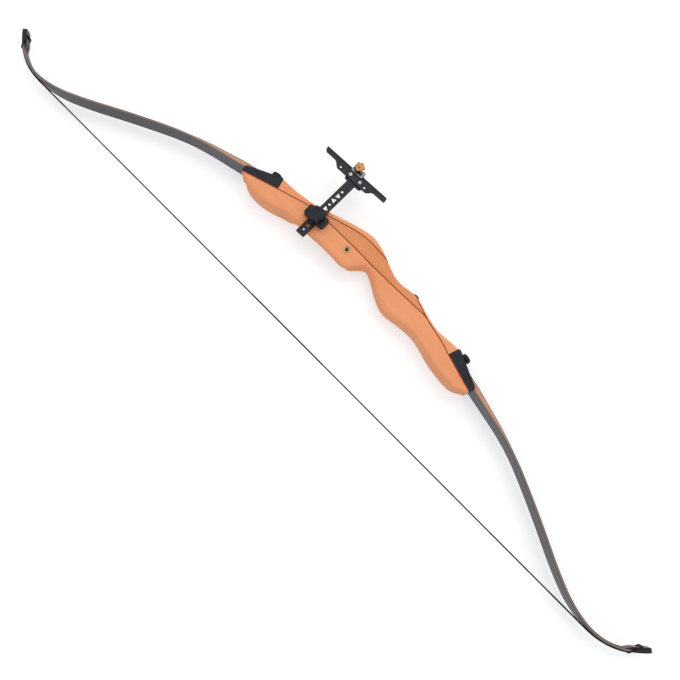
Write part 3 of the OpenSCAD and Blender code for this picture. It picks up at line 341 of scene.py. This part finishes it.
def rod(name, axis, foot, length, radius, edge, sides=48):
    """A round rod from its foot along an axis, with rounded ends."""
    bpy.ops.object.select_all(action="DESELECT")
    bpy.ops.mesh.primitive_cylinder_add(vertices=sides, radius=radius, depth=length,
                                        end_fill_type="NGON", location=(0, 0, length / 2))
    piece = bpy.context.active_object
    piece.name = name
    bpy.ops.object.transform_apply()
    piece.rotation_euler = TURNED_TO[axis]
    piece.location = foot
    bpy.ops.object.transform_apply()
    round_edges(piece, edge, 3, 60)
    piece.data.name = name
    return piece


def smooth(piece, angle=30):
    """Shades a piece smoothly over all edges flatter than an angle."""
    alone(piece)
    bpy.ops.object.shade_smooth_by_angle(angle=math.radians(angle))


def rounded_copy(node, width, material, segments=2, sharper=32):
    """A finished copy of a CAD node with its edges rounded by a width in millimetres, and its material."""
    piece = finished_copy(node)
    round_edges(piece, width * MM, segments, sharper)
    return dress(piece, material)


def dress(piece, material):
    """Gives a piece its material: in its own object slots if it is a CAD node, else as its only material."""
    if "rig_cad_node" in piece and piece.material_slots:
        for place_on in piece.material_slots:
            place_on.link = "OBJECT"
            place_on.material = material
    else:
        piece.data.materials.clear()
        piece.data.materials.append(material)
    return piece


def middle(low, high, **placed):
    """The middle of a box, with some of its coordinates placed elsewhere."""
    point = (low + high) / 2
    for key, value in placed.items():
        setattr(point, key, value)
    return point


# Node groups and materials

def place(tree, kind, values=None, **settings):
    """Adds a node, sets its settings, and gives each input a value or a link."""
    made = tree.nodes.new(kind)
    count = len(tree.nodes)
    made.location = (220 * (count % 7) - 1500, -260 * (count // 7))
    for key, value in settings.items():
        setattr(made, key, value)
    for key, value in (values or {}).items():
        if isinstance(value, bpy.types.NodeSocket):
            tree.links.new(value, made.inputs[key])
        else:
            made.inputs[key].default_value = value
    return made


def maths(tree, operation, *values):
    """A math node's result."""
    return place(tree, "ShaderNodeMath", dict(enumerate(values)), operation=operation).outputs[0]


def scaled(tree, vector, x, y, z):
    """A vector with each of its parts multiplied."""
    return place(tree, "ShaderNodeVectorMath", {0: vector, 1: (x, y, z)}, operation="MULTIPLY").outputs[0]


def stretched(tree, vector, pattern):
    """Coordinates that draw a pattern out along the bow."""
    return scaled(tree, vector, 1, pattern["stretch"], 1)


def mixed(tree, factor, first, second):
    """A colour between two colours."""
    return place(tree, "ShaderNodeMix", {0: factor, 6: first, 7: second}, data_type="RGBA").outputs[2]


def ranged(tree, value, low, high, to_low, to_high):
    """A value carried from one range to another, held inside it."""
    values = {0: value, 1: low, 2: high, 3: to_low, 4: to_high}
    return place(tree, "ShaderNodeMapRange", values).outputs[0]


def noise(tree, vector, scale, detail=2.0, roughness=0.5):
    """A noise texture's value."""
    values = {"Vector": vector, "Scale": scale, "Detail": detail, "Roughness": roughness}
    return place(tree, "ShaderNodeTexNoise", values).outputs[0]


def new_group(name, inputs, outputs):
    """A shader node group with its sockets: the tree, what comes in, and what goes out."""
    tree = bpy.data.node_groups.new(name, "ShaderNodeTree")
    for label, kind, value in inputs:
        socket = tree.interface.new_socket(name=label, in_out="INPUT", socket_type="NodeSocket" + kind)
        if value is not None:
            socket.default_value = value
    for label, kind in outputs:
        tree.interface.new_socket(name=label, in_out="OUTPUT", socket_type="NodeSocket" + kind)
    return tree, place(tree, "NodeGroupInput").outputs, place(tree, "NodeGroupOutput").inputs


def wood_grain():
    """Growth rings, fine pores and short flecks that run along the bow."""
    tree, given, out = new_group("Wood grain", [
        ("Vector", "Vector", None), ("Light", "Color", (1, 1, 1, 1)), ("Dark", "Color", (0, 0, 0, 1)),
        ("Spacing", "Float", 0.003), ("Figure", "Float", 0.5),
    ], [("Color", "Color"), ("Roughness", "Float"), ("Height", "Float")])
    drift, rings, pores, flecks, patches = (
        WOOD[key] for key in ("drift", "rings", "pores", "flecks", "patches"))
    along = stretched(tree, given["Vector"], drift)
    wander = place(tree, "ShaderNodeTexNoise", {"Vector": along, "Scale": drift["scale"], "Detail": 2.0})
    bent = place(tree, "ShaderNodeVectorMath", {0: wander.outputs["Color"], 1: drift["reach"], 2: along},
                 operation="MULTIPLY_ADD").outputs[0]
    ring = place(tree, "ShaderNodeTexWave", {
        "Vector": bent, "Scale": maths(tree, "DIVIDE", rings["per_spacing"], given["Spacing"]),
        "Distortion": rings["distortion"], "Detail": 2.0, "Detail Scale": rings["detail_scale"],
    }, wave_type="RINGS", rings_direction="Y", wave_profile="SAW").outputs["Fac"]
    pore = noise(tree, stretched(tree, given["Vector"], pores), pores["scale"], 3.0, 0.6)
    cells = place(tree, "ShaderNodeTexVoronoi", {
        "Vector": stretched(tree, given["Vector"], flecks), "Scale": flecks["scale"],
    }).outputs["Distance"]
    dashes = ranged(tree, cells, 0.08, 0.3, 1.0, 0.0)
    patch = noise(tree, stretched(tree, given["Vector"], patches), patches["scale"], 2.0)
    soft = maths(tree, "MULTIPLY", maths(tree, "MULTIPLY", ring, given["Figure"]), rings["share"])
    fine = maths(tree, "MULTIPLY_ADD", ranged(tree, pore, 0.35, 0.7, 0.0, 1.0), pores["share"], soft)
    dashed = maths(tree, "MULTIPLY_ADD", dashes, flecks["share"], fine)
    tone = maths(tree, "MULTIPLY_ADD", ranged(tree, patch, 0.3, 0.7, 0.0, 1.0), patches["share"], dashed)
    tree.links.new(mixed(tree, tone, given["Light"], given["Dark"]), out["Color"])
    tree.links.new(ranged(tree, tone, 0.0, 1.0, *WOOD["roughness"]), out["Roughness"])
    tree.links.new(maths(tree, "MULTIPLY_ADD", pore, pores["height"], dashes), out["Height"])
    return tree


def surface_grain():
    """A fine even grain, as on moulded plastic and blasted metal, with large soft patches."""
    tree, given, out = new_group("Surface grain", [
        ("Vector", "Vector", None), ("Size", "Float", 0.0008),
        ("Base", "Color", (0.1, 0.1, 0.1, 1)), ("Worn", "Color", (0.2, 0.2, 0.2, 1)),
        ("Roughness", "Float", 0.5),
    ], [("Color", "Color"), ("Roughness", "Float"), ("Height", "Float")])
    fineness = maths(tree, "DIVIDE", 1.0, given["Size"])
    grain = noise(tree, given["Vector"], fineness, 3.0, 0.6)
    patches, scuffs = SURFACE["patches"], SURFACE["scuffs"]
    patch = noise(tree, given["Vector"], patches["scale"], 3.0, 0.55)
    scuff = noise(tree, stretched(tree, given["Vector"], scuffs), scuffs["scale"], 4.0, 0.65)
    worn = maths(tree, "MULTIPLY_ADD", ranged(tree, patch, 0.42, 0.7, 0.0, 1.0), patches["share"],
                 ranged(tree, scuff, 0.55, 0.8, 0.0, scuffs["share"]))
    tree.links.new(mixed(tree, worn, given["Base"], given["Worn"]), out["Color"])
    rough = maths(tree, "MULTIPLY_ADD", worn, SURFACE["worn_roughness"], given["Roughness"])
    rougher = maths(tree, "MULTIPLY_ADD", grain, SURFACE["grain_roughness"], rough)
    tree.links.new(rougher, out["Roughness"])
    tree.links.new(grain, out["Height"])
    return tree


def fibre_streaks():
    """Long straight fibres under a clear resin, which run along the bow."""
    tree, given, out = new_group("Fibre streaks", [
        ("Vector", "Vector", None), ("Base", "Color", (0.1, 0.1, 0.1, 1)),
        ("Streak", "Color", (0.2, 0.2, 0.2, 1)),
    ], [("Color", "Color"), ("Roughness", "Float"), ("Height", "Float")])
    fibres, bands = FIBRES["fibres"], FIBRES["bands"]
    fibre = noise(tree, stretched(tree, given["Vector"], fibres), fibres["scale"], 3.0, 0.6)
    band = noise(tree, stretched(tree, given["Vector"], bands), bands["scale"], 2.0)
    tone = maths(tree, "MULTIPLY_ADD", ranged(tree, fibre, 0.35, 0.7, 0.0, 1.0), fibres["share"],
                 ranged(tree, band, 0.4, 0.7, 0.0, bands["share"]))
    tree.links.new(mixed(tree, tone, given["Base"], given["Streak"]), out["Color"])
    tree.links.new(ranged(tree, tone, 0.0, 1.0, *FIBRES["roughness"]), out["Roughness"])
    tree.links.new(fibre, out["Height"])
    return tree


def turned_marks():
    """Fine tool marks and handling stains, as on turned or milled metal."""
    tree, given, out = new_group("Turned marks", [
        ("Vector", "Vector", None), ("Base", "Color", (0.8, 0.8, 0.8, 1)),
        ("Stain", "Color", (0.5, 0.5, 0.5, 1)), ("Roughness", "Float", 0.25),
    ], [("Color", "Color"), ("Roughness", "Float"), ("Height", "Float")])
    lines, stains = MARKS["lines"], MARKS["stains"]
    across = lines["across"]
    mark = noise(tree, scaled(tree, given["Vector"], across, across, 1), lines["scale"], 2.0)
    stain = noise(tree, given["Vector"], stains["scale"], 4.0, 0.6)
    tone = ranged(tree, stain, 0.42, 0.72, 0.0, 1.0)
    tree.links.new(mixed(tree, tone, given["Base"], given["Stain"]), out["Color"])
    rough = maths(tree, "MULTIPLY_ADD", tone, stains["roughness"], given["Roughness"])
    tree.links.new(maths(tree, "MULTIPLY_ADD", mark, lines["roughness"], rough), out["Roughness"])
    tree.links.new(mark, out["Height"])
    return tree


def thread_lay():
    """Turns of a thread wound round a line along Y, darkened in the grooves between them as painted shade."""
    tree, given, out = new_group("Thread lay", [
        ("Vector", "Vector", None), ("Pitch", "Float", 0.001),
        ("Thread", "Color", (0.1, 0.1, 0.1, 1)), ("Gap", "Color", (0.02, 0.02, 0.02, 1)),
    ], [("Color", "Color"), ("Height", "Float")])
    parts = place(tree, "ShaderNodeSeparateXYZ", {0: given["Vector"]}).outputs
    around = maths(tree, "ARCTAN2", parts["Z"], parts["X"])
    turns = maths(tree, "DIVIDE", maths(tree, "MULTIPLY", parts["Y"], 2 * math.pi), given["Pitch"])
    wave = maths(tree, "SINE", maths(tree, "ADD", turns, around))
    height = ranged(tree, wave, -1.0, 1.0, 0.0, 1.0)
    fuzz = noise(tree, given["Vector"], LAY["fuzz_scale"], 2.0)
    # Painted shade: the thread darkens towards the grooves between its turns
    ridge = maths(tree, "MULTIPLY", height, LAY["groove_shade_share"])
    tone = maths(tree, "MULTIPLY_ADD", fuzz, LAY["fuzz_share"], ridge)
    tree.links.new(mixed(tree, tone, given["Gap"], given["Thread"]), out["Color"])
    tree.links.new(height, out["Height"])
    return tree


def dipped_tip():
    """A dark dip over both tips: a second colour past a distance along the bow."""
    tree, given, out = new_group("Dipped tip", [
        ("Vector", "Vector", None), ("Color", "Color", (0.5, 0.5, 0.5, 1)),
        ("Dip", "Color", (0.02, 0.02, 0.02, 1)), ("Start", "Float", 0.8),
    ], [("Color", "Color")])
    parts = place(tree, "ShaderNodeSeparateXYZ", {0: given["Vector"]}).outputs
    past = maths(tree, "SUBTRACT", maths(tree, "ABSOLUTE", parts["Y"]), given["Start"])
    dipped = ranged(tree, past, 0.0, DIP_EDGE * MM, 0.0, 1.0)
    tree.links.new(mixed(tree, dipped, given["Color"], given["Dip"]), out["Color"])
    return tree


built_groups = {}
built_materials = {}


def group(build):
    """The node group that a function builds, built once."""
    name = build.__name__
    if name not in built_groups:
        built_groups[name] = build()
    return built_groups[name]


def opaque(tone):
    """A colour with full alpha."""
    return (*tone, 1.0)


def material_of(name, build_group, values, bump=0.1, depth=0.0002, shader_values=None):
    """A material whose colour, roughness and bump come from one of the groups. Built once."""
    if name in built_materials:
        return built_materials[name]
    material = bpy.data.materials.new(name)
    material.use_nodes = True
    tree = material.node_tree
    shader = tree.nodes["Principled BSDF"]
    coordinates = place(tree, "ShaderNodeTexCoord").outputs["Object"]
    pattern = place(tree, "ShaderNodeGroup", node_tree=group(build_group))
    tree.links.new(coordinates, pattern.inputs["Vector"])
    for key, value in values.items():
        pattern.inputs[key].default_value = opaque(value) if hasattr(value, "__len__") else value
    for key in ("Color", "Roughness"):
        if key in pattern.outputs:
            tree.links.new(pattern.outputs[key], shader.inputs["Base Color" if key == "Color" else key])
    relief = place(tree, "ShaderNodeBump", {"Strength": bump, "Distance": depth,
                                            "Height": pattern.outputs["Height"]})
    tree.links.new(relief.outputs["Normal"], shader.inputs["Normal"])
    for key, value in (shader_values or {}).items():
        shader.inputs[key].default_value = value
    built_materials[name] = material
    return material


def dip(material, looks):
    """Puts the tips' dip between a material's pattern and its shader."""
    tree = material.node_tree
    socket = tree.nodes["Principled BSDF"].inputs["Base Color"]
    coordinates = tree.nodes["Texture Coordinate"].outputs["Object"]
    dipped = place(tree, "ShaderNodeGroup", node_tree=group(dipped_tip))
    tree.links.new(coordinates, dipped.inputs["Vector"])
    tree.links.new(socket.links[0].from_socket, dipped.inputs["Color"])
    dipped.inputs["Dip"].default_value = opaque(looks.dip)
    dipped.inputs["Start"].default_value = looks.dip_start
    tree.links.new(dipped.outputs["Color"], socket)


def darker(tone, factor):
    """A colour made darker or lighter by a factor."""
    return tuple(min(value * factor, 1.0) for value in tone)


def wood_finish(name, light, dark, figure=0.3):
    """Wood under a thin lacquer."""
    looks = bpy.context.scene.bow_riser
    return material_of(name, wood_grain, {
        "Light": light, "Dark": dark, "Spacing": looks.spacing, "Figure": figure,
    }, bump=0.12, depth=0.0002, shader_values={
        "Coat Weight": looks.lacquer, "Coat Roughness": 0.3, "Specular IOR Level": 0.16})


def plastic_finish(name, tone, roughness=0.5, size=0.0008, gloss=0.22):
    """Moulded plastic or a dark coating, with a fine grain."""
    return material_of(name, surface_grain, {
        "Base": tone, "Worn": darker(tone, 1.5), "Size": size, "Roughness": roughness,
    }, bump=0.15, depth=0.0002, shader_values={"Specular IOR Level": gloss})


def metal_finish(name, tone, roughness=0.3):
    """Bare metal with tool marks."""
    return material_of(name, turned_marks, {
        "Base": tone, "Stain": darker(tone, 0.72), "Roughness": roughness,
    }, bump=0.08, depth=0.0001, shader_values={"Metallic": 1.0})


def glass_finish(name, tone):
    """Glass fibre in clear resin."""
    return material_of(name, fibre_streaks, {
        "Base": tone, "Streak": darker(tone, 1.3)}, bump=0.06, shader_values={"Specular IOR Level": 0.3})


# Pieces

class BowOperator:
    """What all of the bow's operators share"""

    bl_options = {"REGISTER", "UNDO"}


class BOW_OT_riser(BowOperator, bpy.types.Operator):
    """Smooths the riser's layers and gives them their woods"""

    bl_idname = "bow.riser"
    bl_label = "Riser"

    def execute(self, context):
        looks = context.scene.bow_riser
        main = wood_finish("Riser wood", looks.wood, looks.wood_dark)
        wedge = wood_finish("Wedge wood", looks.wedge, looks.wedge_dark, 0.4)
        veneer = wood_finish("Veneer", looks.veneer, looks.veneer_dark, 0.4)
        woods = {
            "riser_core": (main, "riser_wood"), "riser_center_wedge": (wedge, "riser_wood"),
            "riser_upper_back": (main, "riser_wood"), "riser_lower_back": (main, "riser_wood"),
            "veneer_upper": (veneer, "veneer"), "veneer_center": (veneer, "veneer"),
            "veneer_lower": (veneer, "veneer"),
        }
        for node, (material, slot) in woods.items():
            piece = finished_copy(node)
            level_shading(piece, SMOOTH_BELOW["riser"])
            dress(piece, material)
        return {"FINISHED"}


class BOW_OT_fittings(BowOperator, bpy.types.Operator):
    """Threads the bushings in the riser and finishes the arrow rest"""

    bl_idname = "bow.fittings"
    bl_label = "Fittings"

    def execute(self, context):
        sight = context.scene.bow_sight
        pale = metal_finish("Bushing brass", sight.bushing, 0.42)
        steel = metal_finish("Bright steel", sight.steel)
        black = plastic_finish("Black metal", sight.anodised, 0.42, 0.0005)
        plastic = plastic_finish("Rest plastic", sight.knob)
        for node, axis, width, material, slot in (("plunger_bushing", "Z", 0.2, pale, "brass"),
                                                  ("stabilizer_insert", "X", 0.4, black, "black_metal")):
            rounded_copy(node, width, material)
            self.thread(node, axis, material, slot)
        for node, width, material, slot in (("arrow_rest_base", 0.3, plastic, "black_plastic"),
                                            ("arrow_rest_arm", 0.1, steel, "steel"),
                                            ("arrow_rest_pin", 0.2, steel, "steel")):
            rounded_copy(node, width, material)
        for end in ENDS:
            for hidden in ("_bolt_insert", "_pocket_screws", "_locating_pin"):
                dress(frame["nodes"][end + hidden], steel)
        return {"FINISHED"}

    def thread(self, node, axis, material, slot):
        """The thread inside a bushing, from just under its face to the end of its bore."""
        low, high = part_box(node)
        foot = (low + high) / 2
        along = "XYZ".index(axis)
        turns = round(THREAD_DEPTH[node] / THREAD_PITCH)
        foot[along] = high[along] - (turns + 1) * THREAD_PITCH * MM
        piece = coil(node + "_thread", axis, foot, turns * THREAD_PITCH * MM, turns, THREAD_BORE * MM / 2,
                     THREAD_PITCH * MM * THREAD_FILL, 4, 32)
        smooth(piece, SMOOTH_BELOW["thread"])
        dress(piece, material)
        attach(piece, "root")


class BOW_OT_limbs(BowOperator, bpy.types.Operator):
    """Finishes the layers of both limbs"""

    bl_idname = "bow.limbs"
    bl_label = "Limbs"

    def execute(self, context):
        looks = context.scene.bow_limbs
        belly = glass_finish("Belly glass", looks.belly)
        back = glass_finish("Back glass", looks.back)
        core = wood_finish("Limb core", looks.core, darker(looks.core, 0.7), 0.3)
        dip(core, looks)
        wedge = wood_finish("Limb wedge", looks.wedge, darker(looks.wedge, 0.72), 0.5)
        tip = plastic_finish("Tip overlay", looks.knob, 0.3)
        layers = (("belly_glass", belly, "grey_glass_fibre", 0.25), ("limb_core", core, "limb_wood", 0.08),
                  ("limb_wedge", wedge, "limb_wood", 0), ("back_glass", back, "brown_glass_fibre", 0.25),
                  ("tip_overlay", tip, "tip_black", 0.5))
        for end in ENDS:
            for layer, material, slot, width in layers:
                if width:
                    rounded_copy(f"{end}_{layer}", width, material, 2, 40)
                else:
                    piece = finished_copy(f"{end}_{layer}")
                    smooth(piece)
                    dress(piece, material)
        return {"FINISHED"}


class BOW_OT_limb_fixings(BowOperator, bpy.types.Operator):
    """Rounds the limb pockets and finishes the limb bolts"""

    bl_idname = "bow.limb_fixings"
    bl_label = "Limb fixings"

    def execute(self, context):
        looks = context.scene.bow_limbs
        pocket = plastic_finish("Pocket plastic", looks.pocket, 0.46, 0.0006)
        knob = plastic_finish("Knob plastic", looks.knob, 0.36, 0.0005)
        for end in ENDS:
            rounded_copy(end + "_limb_pocket", looks.edge_round / MM, pocket, 3)
            rounded_copy(end + "_limb_bolt", 0.25, knob, 2, 40)
            rounded_copy(end + "_limb_washer", 0.3, knob)
        return {"FINISHED"}


class BOW_OT_string(BowOperator, bpy.types.Operator):
    """Lays the string's strands in a twist and serves it with thread"""

    bl_idname = "bow.string"
    bl_label = "String"

    def execute(self, context):
        looks = context.scene.bow_string
        low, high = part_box("bowstring")
        tuck = STRAND_TUCK * MM
        foot = middle(low, high, y=low.y - tuck)
        yarn = plastic_finish("Waxed yarn", looks.yarn, 0.6, 0.0003)
        length = high.y - low.y + 2 * tuck
        turns = round(length / looks.twist)
        reach = (high.x - low.x) / 2 + looks.fullness - looks.strand / 2
        strands = [coil("strand", "Y", foot, length, turns, reach, looks.strand, 6, 10,
                        2 * math.pi * index / looks.strands) for index in range(looks.strands)]
        core = rod("string_core", "Y", foot, length, reach, looks.strand / 4, 12)
        piece = joined("bowstring_strands", [core, *strands])
        smooth(piece, SMOOTH_BELOW["strands"])
        dress(piece, yarn)
        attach(piece, "root")
        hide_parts("bowstring")
        self.serve(looks)
        return {"FINISHED"}

    def serve(self, looks):
        """The centre serving and the straight part of each end serving, wound turn by turn."""
        thread = plastic_finish("Serving thread", looks.serving, 0.5, 0.0002)
        # The loops' thread darkens in the grooves between its turns, as painted shade
        lay = material_of("Serving lay", thread_lay, {
            "Thread": looks.serving, "Gap": darker(looks.serving, 0.4), "Pitch": looks.thread,
        }, bump=0.6, depth=0.0002, shader_values={"Roughness": 0.5, "Specular IOR Level": 0.22})
        low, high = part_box("center_serving")
        radius = (high.x - low.x) / 2
        line = middle(low, high, y=low.y)
        wound = self.wound(looks, "center_serving_thread", line, high.y - low.y, radius)
        dress(wound, thread)
        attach(wound, "root")
        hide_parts("center_serving")
        for end in ENDS:
            piece = finished_copy(end + "_end_serving")
            editing(piece)
            bpy.ops.mesh.tris_convert_to_quads(face_threshold=QUAD_WITHIN, shape_threshold=QUAD_WITHIN)
            bpy.ops.object.mode_set(mode="OBJECT")
            apply_modifier(piece, "SUBSURF", levels=2, render_levels=2)
            smooth(piece, SMOOTH_BELOW["loop"])
            dress(piece, lay)
            self.wind_end(looks, end, thread, radius)

    def wind_end(self, looks, end, thread, radius):
        """The serving thread over the straight part of one end serving."""
        low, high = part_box("bowstring")
        straight = END_SERVING_STRAIGHT * MM
        start = high.y if end == "upper" else low.y - straight
        foot = middle(low, high, y=start)
        piece = self.wound(looks, end + "_end_serving_thread", foot, straight, radius)
        dress(piece, thread)
        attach(piece, "root")

    def wound(self, looks, name, foot, length, radius):
        """Serving thread wound close round the string."""
        turns = round(length / looks.thread)
        piece = coil(name, "Y", foot, length, turns, radius - looks.thread / 2,
                     looks.thread * SERVING_OVERLAP, 5, 12)
        smooth(piece, SMOOTH_BELOW["serving"])
        return piece


class BOW_OT_sight(BowOperator, bpy.types.Operator):
    """Rounds the sight's bars and knobs and gives them their metals"""

    bl_idname = "bow.sight"
    bl_label = "Sight"

    def execute(self, context):
        looks = context.scene.bow_sight
        bars = plastic_finish("Anodised black", looks.anodised, 0.42, 0.0005)
        block = plastic_finish("Coated black", looks.block, 0.46, 0.0005)
        knob = plastic_finish("Clamp knob plastic", looks.knob, 0.4, 0.0006)
        brass = metal_finish("Brass", looks.brass, 0.4)
        steel = metal_finish("Bright steel", looks.steel)
        silver = metal_finish("Blasted silver", looks.silver, 0.42)
        edge = looks.edge_round / MM
        rounded = (("sight_mount_block", 0.8, block, "black_metal"),
                   ("sight_mount_screws", 0.15, block, "black_metal"),
                   ("sight_extension_bar", edge, bars, "black_metal"),
                   ("sight_elevation_bar", edge, bars, "black_metal"),
                   ("sight_clamp_knob", 0.6, knob, "black_plastic"),
                   ("sight_clamp_pad", 0.2, steel, "steel"),
                   ("sight_bar_screws", 0.35, steel, "steel"),
                   ("sight_carriage", 0.35, silver, "silver_metal"),
                   ("carriage_lock_screw", 0.2, steel, "steel"),
                   ("windage_star_nut", 0.5, brass, "brass"),
                   ("windage_lock_nut", 0.3, brass, "brass"),
                   ("sight_aperture", 0.3, bars, "black_metal"))
        for node, width, material, slot in rounded:
            rounded_copy(node, width, material)
        self.windage_pin(looks, brass)
        self.stop_screw(steel)
        # A dark strip in the carriage's recess, as painted shade
        self.carriage_recess_shade(bars)
        return {"FINISHED"}

    def on_sight(self, along, up, high):
        """A place in the sight's own turned frame, in millimetres from the foot of its mount block."""
        low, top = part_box("sight_mount_block")
        turn = Matrix.Rotation(BAR_TILT, 4, "Z")
        foot = middle(low, top, z=low.z)
        return foot + turn @ Vector((along, up, high)) * MM

    def stop_screw(self, steel):
        """The round-headed screw in the rear cut-out that keeps the bar in its block."""
        height = STOP_SCREW["height"] * MM
        foot = self.on_sight(*STOP_SCREW["place"]) - Vector((0, 0, height))
        head = rod("sight_stop_screw", "Z", foot, 2 * height, STOP_SCREW["radius"] * MM,
                   STOP_SCREW["edge"] * MM)
        dress(head, steel)
        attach(head, "sight_bar")

    def carriage_recess_shade(self, bars):
        """A dark strip in the recess on top of the carriage: painted shade for the hollow."""
        bpy.ops.object.select_all(action="DESELECT")
        bpy.ops.mesh.primitive_cube_add(size=1, location=self.on_sight(*CARRIAGE_RECESS_SHADE["place"]),
                                        rotation=(0, 0, BAR_TILT))
        strip = bpy.context.active_object
        strip.name = "carriage_recess_shade"
        strip.scale = [side * MM for side in CARRIAGE_RECESS_SHADE["size"]]
        bpy.ops.object.transform_apply()
        round_edges(strip, CARRIAGE_RECESS_SHADE["edge"] * MM)
        strip.data.name = strip.name
        dress(strip, bars)
        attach(strip, "carriage")

    def windage_pin(self, looks, brass):
        """The pin as a rod with a thread wound on it, in place of its plain cylinder."""
        low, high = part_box("windage_pin")
        depth = looks.pin_pitch * PIN_THREAD_DEPTH
        foot = middle(low, high, z=low.z)
        radius = (high.x - low.x) / 2
        turns = int((high.z - low.z) / looks.pin_pitch) - 2
        core = rod("pin_core", "Z", foot, high.z - low.z, radius - depth, 0.4 * MM)
        start = foot + Vector((0, 0, looks.pin_pitch))
        ridge = coil("pin_ridge", "Z", start, turns * looks.pin_pitch, turns, radius - depth,
                     2 * depth, 4, 24)
        smooth(ridge, SMOOTH_BELOW["thread"])
        piece = joined("windage_pin_threaded", [core, ridge])
        dress(piece, brass)
        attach(piece, frame["nodes"]["windage_pin"]["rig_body"])
        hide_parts("windage_pin")


class BOW_OT_stage(BowOperator, bpy.types.Operator):
    """Lays the floor, hangs the lamps and sets the camera"""

    bl_idname = "bow.stage"
    bl_label = "Stage"

    def execute(self, context):
        looks = context.scene.bow_stage
        self.floor(looks)
        self.light(looks)
        self.camera(looks)
        context.scene.view_settings.view_transform = "Standard"
        return {"FINISHED"}

    def floor(self, looks):
        """A wide plain sheet, white to the camera and with the bow's soft shadow."""
        bpy.ops.object.select_all(action="DESELECT")
        bpy.ops.mesh.primitive_circle_add(vertices=96, radius=FLOOR_RADIUS, fill_type="NGON",
                                          location=(0, 0, -FLOOR_DROP))
        floor = bpy.context.active_object
        floor.name = "floor"
        material = bpy.data.materials.new("Pale floor")
        material.use_nodes = True
        tree = material.node_tree
        shader = tree.nodes["Principled BSDF"]
        seen = self.seen(tree)
        cover = mixed(tree, seen, opaque(looks.floor), opaque(looks.shade))
        tree.links.new(cover, shader.inputs["Base Color"])
        tree.links.new(seen, shader.inputs["Emission Strength"])
        shader.inputs["Emission Color"].default_value = opaque([looks.white - value for value in looks.shade])
        shader.inputs["Roughness"].default_value = 0.9
        shader.inputs["Specular IOR Level"].default_value = 0.0
        floor.data.materials.append(material)

    def seen(self, tree):
        """1 for what the camera sees, directly or in metal or glass, and 0 for light on the bow."""
        paths = place(tree, "ShaderNodeLightPath").outputs
        bright = maths(tree, "MAXIMUM", paths["Is Camera Ray"], paths["Is Glossy Ray"])
        return maths(tree, "MAXIMUM", bright, paths["Is Transmission Ray"])

    def light(self, looks):
        """One wide soft lamp on the target's side of the bow, and an even sky."""
        bpy.ops.object.select_all(action="DESELECT")
        bpy.ops.object.light_add(type="SUN", location=looks.sun_from)
        lamp = bpy.context.active_object
        lamp.name = "soft_lamp"
        lamp.data.energy = looks.sun
        lamp.data.angle = looks.sun_width
        lamp.data.color = looks.sun_tint
        lamp.rotation_mode = "QUATERNION"
        lamp.rotation_quaternion = (-Vector(looks.sun_from)).to_track_quat("-Z", "Y")
        world = bpy.data.worlds.new("Even sky")
        bpy.context.scene.world = world
        world.use_nodes = True
        tree = world.node_tree
        background = tree.nodes["Background"]
        seen = self.seen(tree)
        tone = mixed(tree, seen, opaque(looks.sky_tint), (1.0, 1.0, 1.0, 1.0))
        tree.links.new(tone, background.inputs["Color"])
        tree.links.new(ranged(tree, seen, 0.0, 1.0, looks.sky, 1.0), background.inputs["Strength"])

    def camera(self, looks):
        """The camera where the photograph was taken from."""
        bpy.ops.object.select_all(action="DESELECT")
        bpy.ops.object.camera_add(location=looks.camera_place)
        camera = bpy.context.active_object
        camera.name = "photo_camera"
        forward = Vector(looks.camera_forward).normalized()
        down = Vector(looks.camera_down).normalized()
        right = down.cross(forward).normalized()
        turn = Matrix((right, -down, -forward)).transposed()
        camera.rotation_mode = "QUATERNION"
        camera.rotation_quaternion = turn.to_quaternion()
        camera.data.sensor_fit = "HORIZONTAL"
        camera.data.sensor_width = SENSOR_WIDTH
        camera.data.lens = SENSOR_WIDTH * looks.focal
        camera.data.clip_start = NEAREST
        camera.data.clip_end = FARTHEST
        bpy.context.scene.camera = camera


class BOW_PT_looks(bpy.types.Panel):
    """The bow's pieces and stage"""

    bl_label = "Recurve bow"
    bl_idname = "BOW_PT_looks"
    bl_space_type = "VIEW_3D"
    bl_region_type = "UI"
    bl_category = "Bow"

    def draw(self, context):
        """Each section's buttons above its values."""
        for looks, operators in SECTIONS.items():
            box = self.layout.box()
            for operator in operators:
                box.operator(operator.bl_idname)
            for key in LOOKS[looks].__annotations__:
                box.prop(getattr(context.scene, looks), key)


LOOKS = {
    "bow_riser": RiserLooks, "bow_limbs": LimbLooks, "bow_string": StringLooks,
    "bow_sight": SightLooks, "bow_stage": StageLooks,
}
SECTIONS = {
    "bow_riser": (BOW_OT_riser, BOW_OT_fittings), "bow_limbs": (BOW_OT_limbs, BOW_OT_limb_fixings),
    "bow_string": (BOW_OT_string,), "bow_sight": (BOW_OT_sight,), "bow_stage": (BOW_OT_stage,),
}
OPERATORS = [operator for operators in SECTIONS.values() for operator in operators]


def register():
    """Registers the classes and hangs their values on the scene."""
    for made in [*LOOKS.values(), *OPERATORS, BOW_PT_looks]:
        bpy.utils.register_class(made)
    for name, looks in LOOKS.items():
        setattr(bpy.types.Scene, name, PointerProperty(type=looks))


def unregister():
    """Takes the values off the scene and the classes out again."""
    for name in LOOKS:
        delattr(bpy.types.Scene, name)
    for made in reversed([*LOOKS.values(), *OPERATORS, BOW_PT_looks]):
        bpy.utils.unregister_class(made)


def main():
    """Builds the whole scene."""
    register()
    bpy.ops.bow.stage()
    bpy.ops.bow.riser()
    bpy.ops.bow.fittings()
    bpy.ops.bow.limbs()
    bpy.ops.bow.limb_fixings()
    bpy.ops.bow.string()
    bpy.ops.bow.sight()
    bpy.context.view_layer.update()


if __name__ == "__main__":
    main()
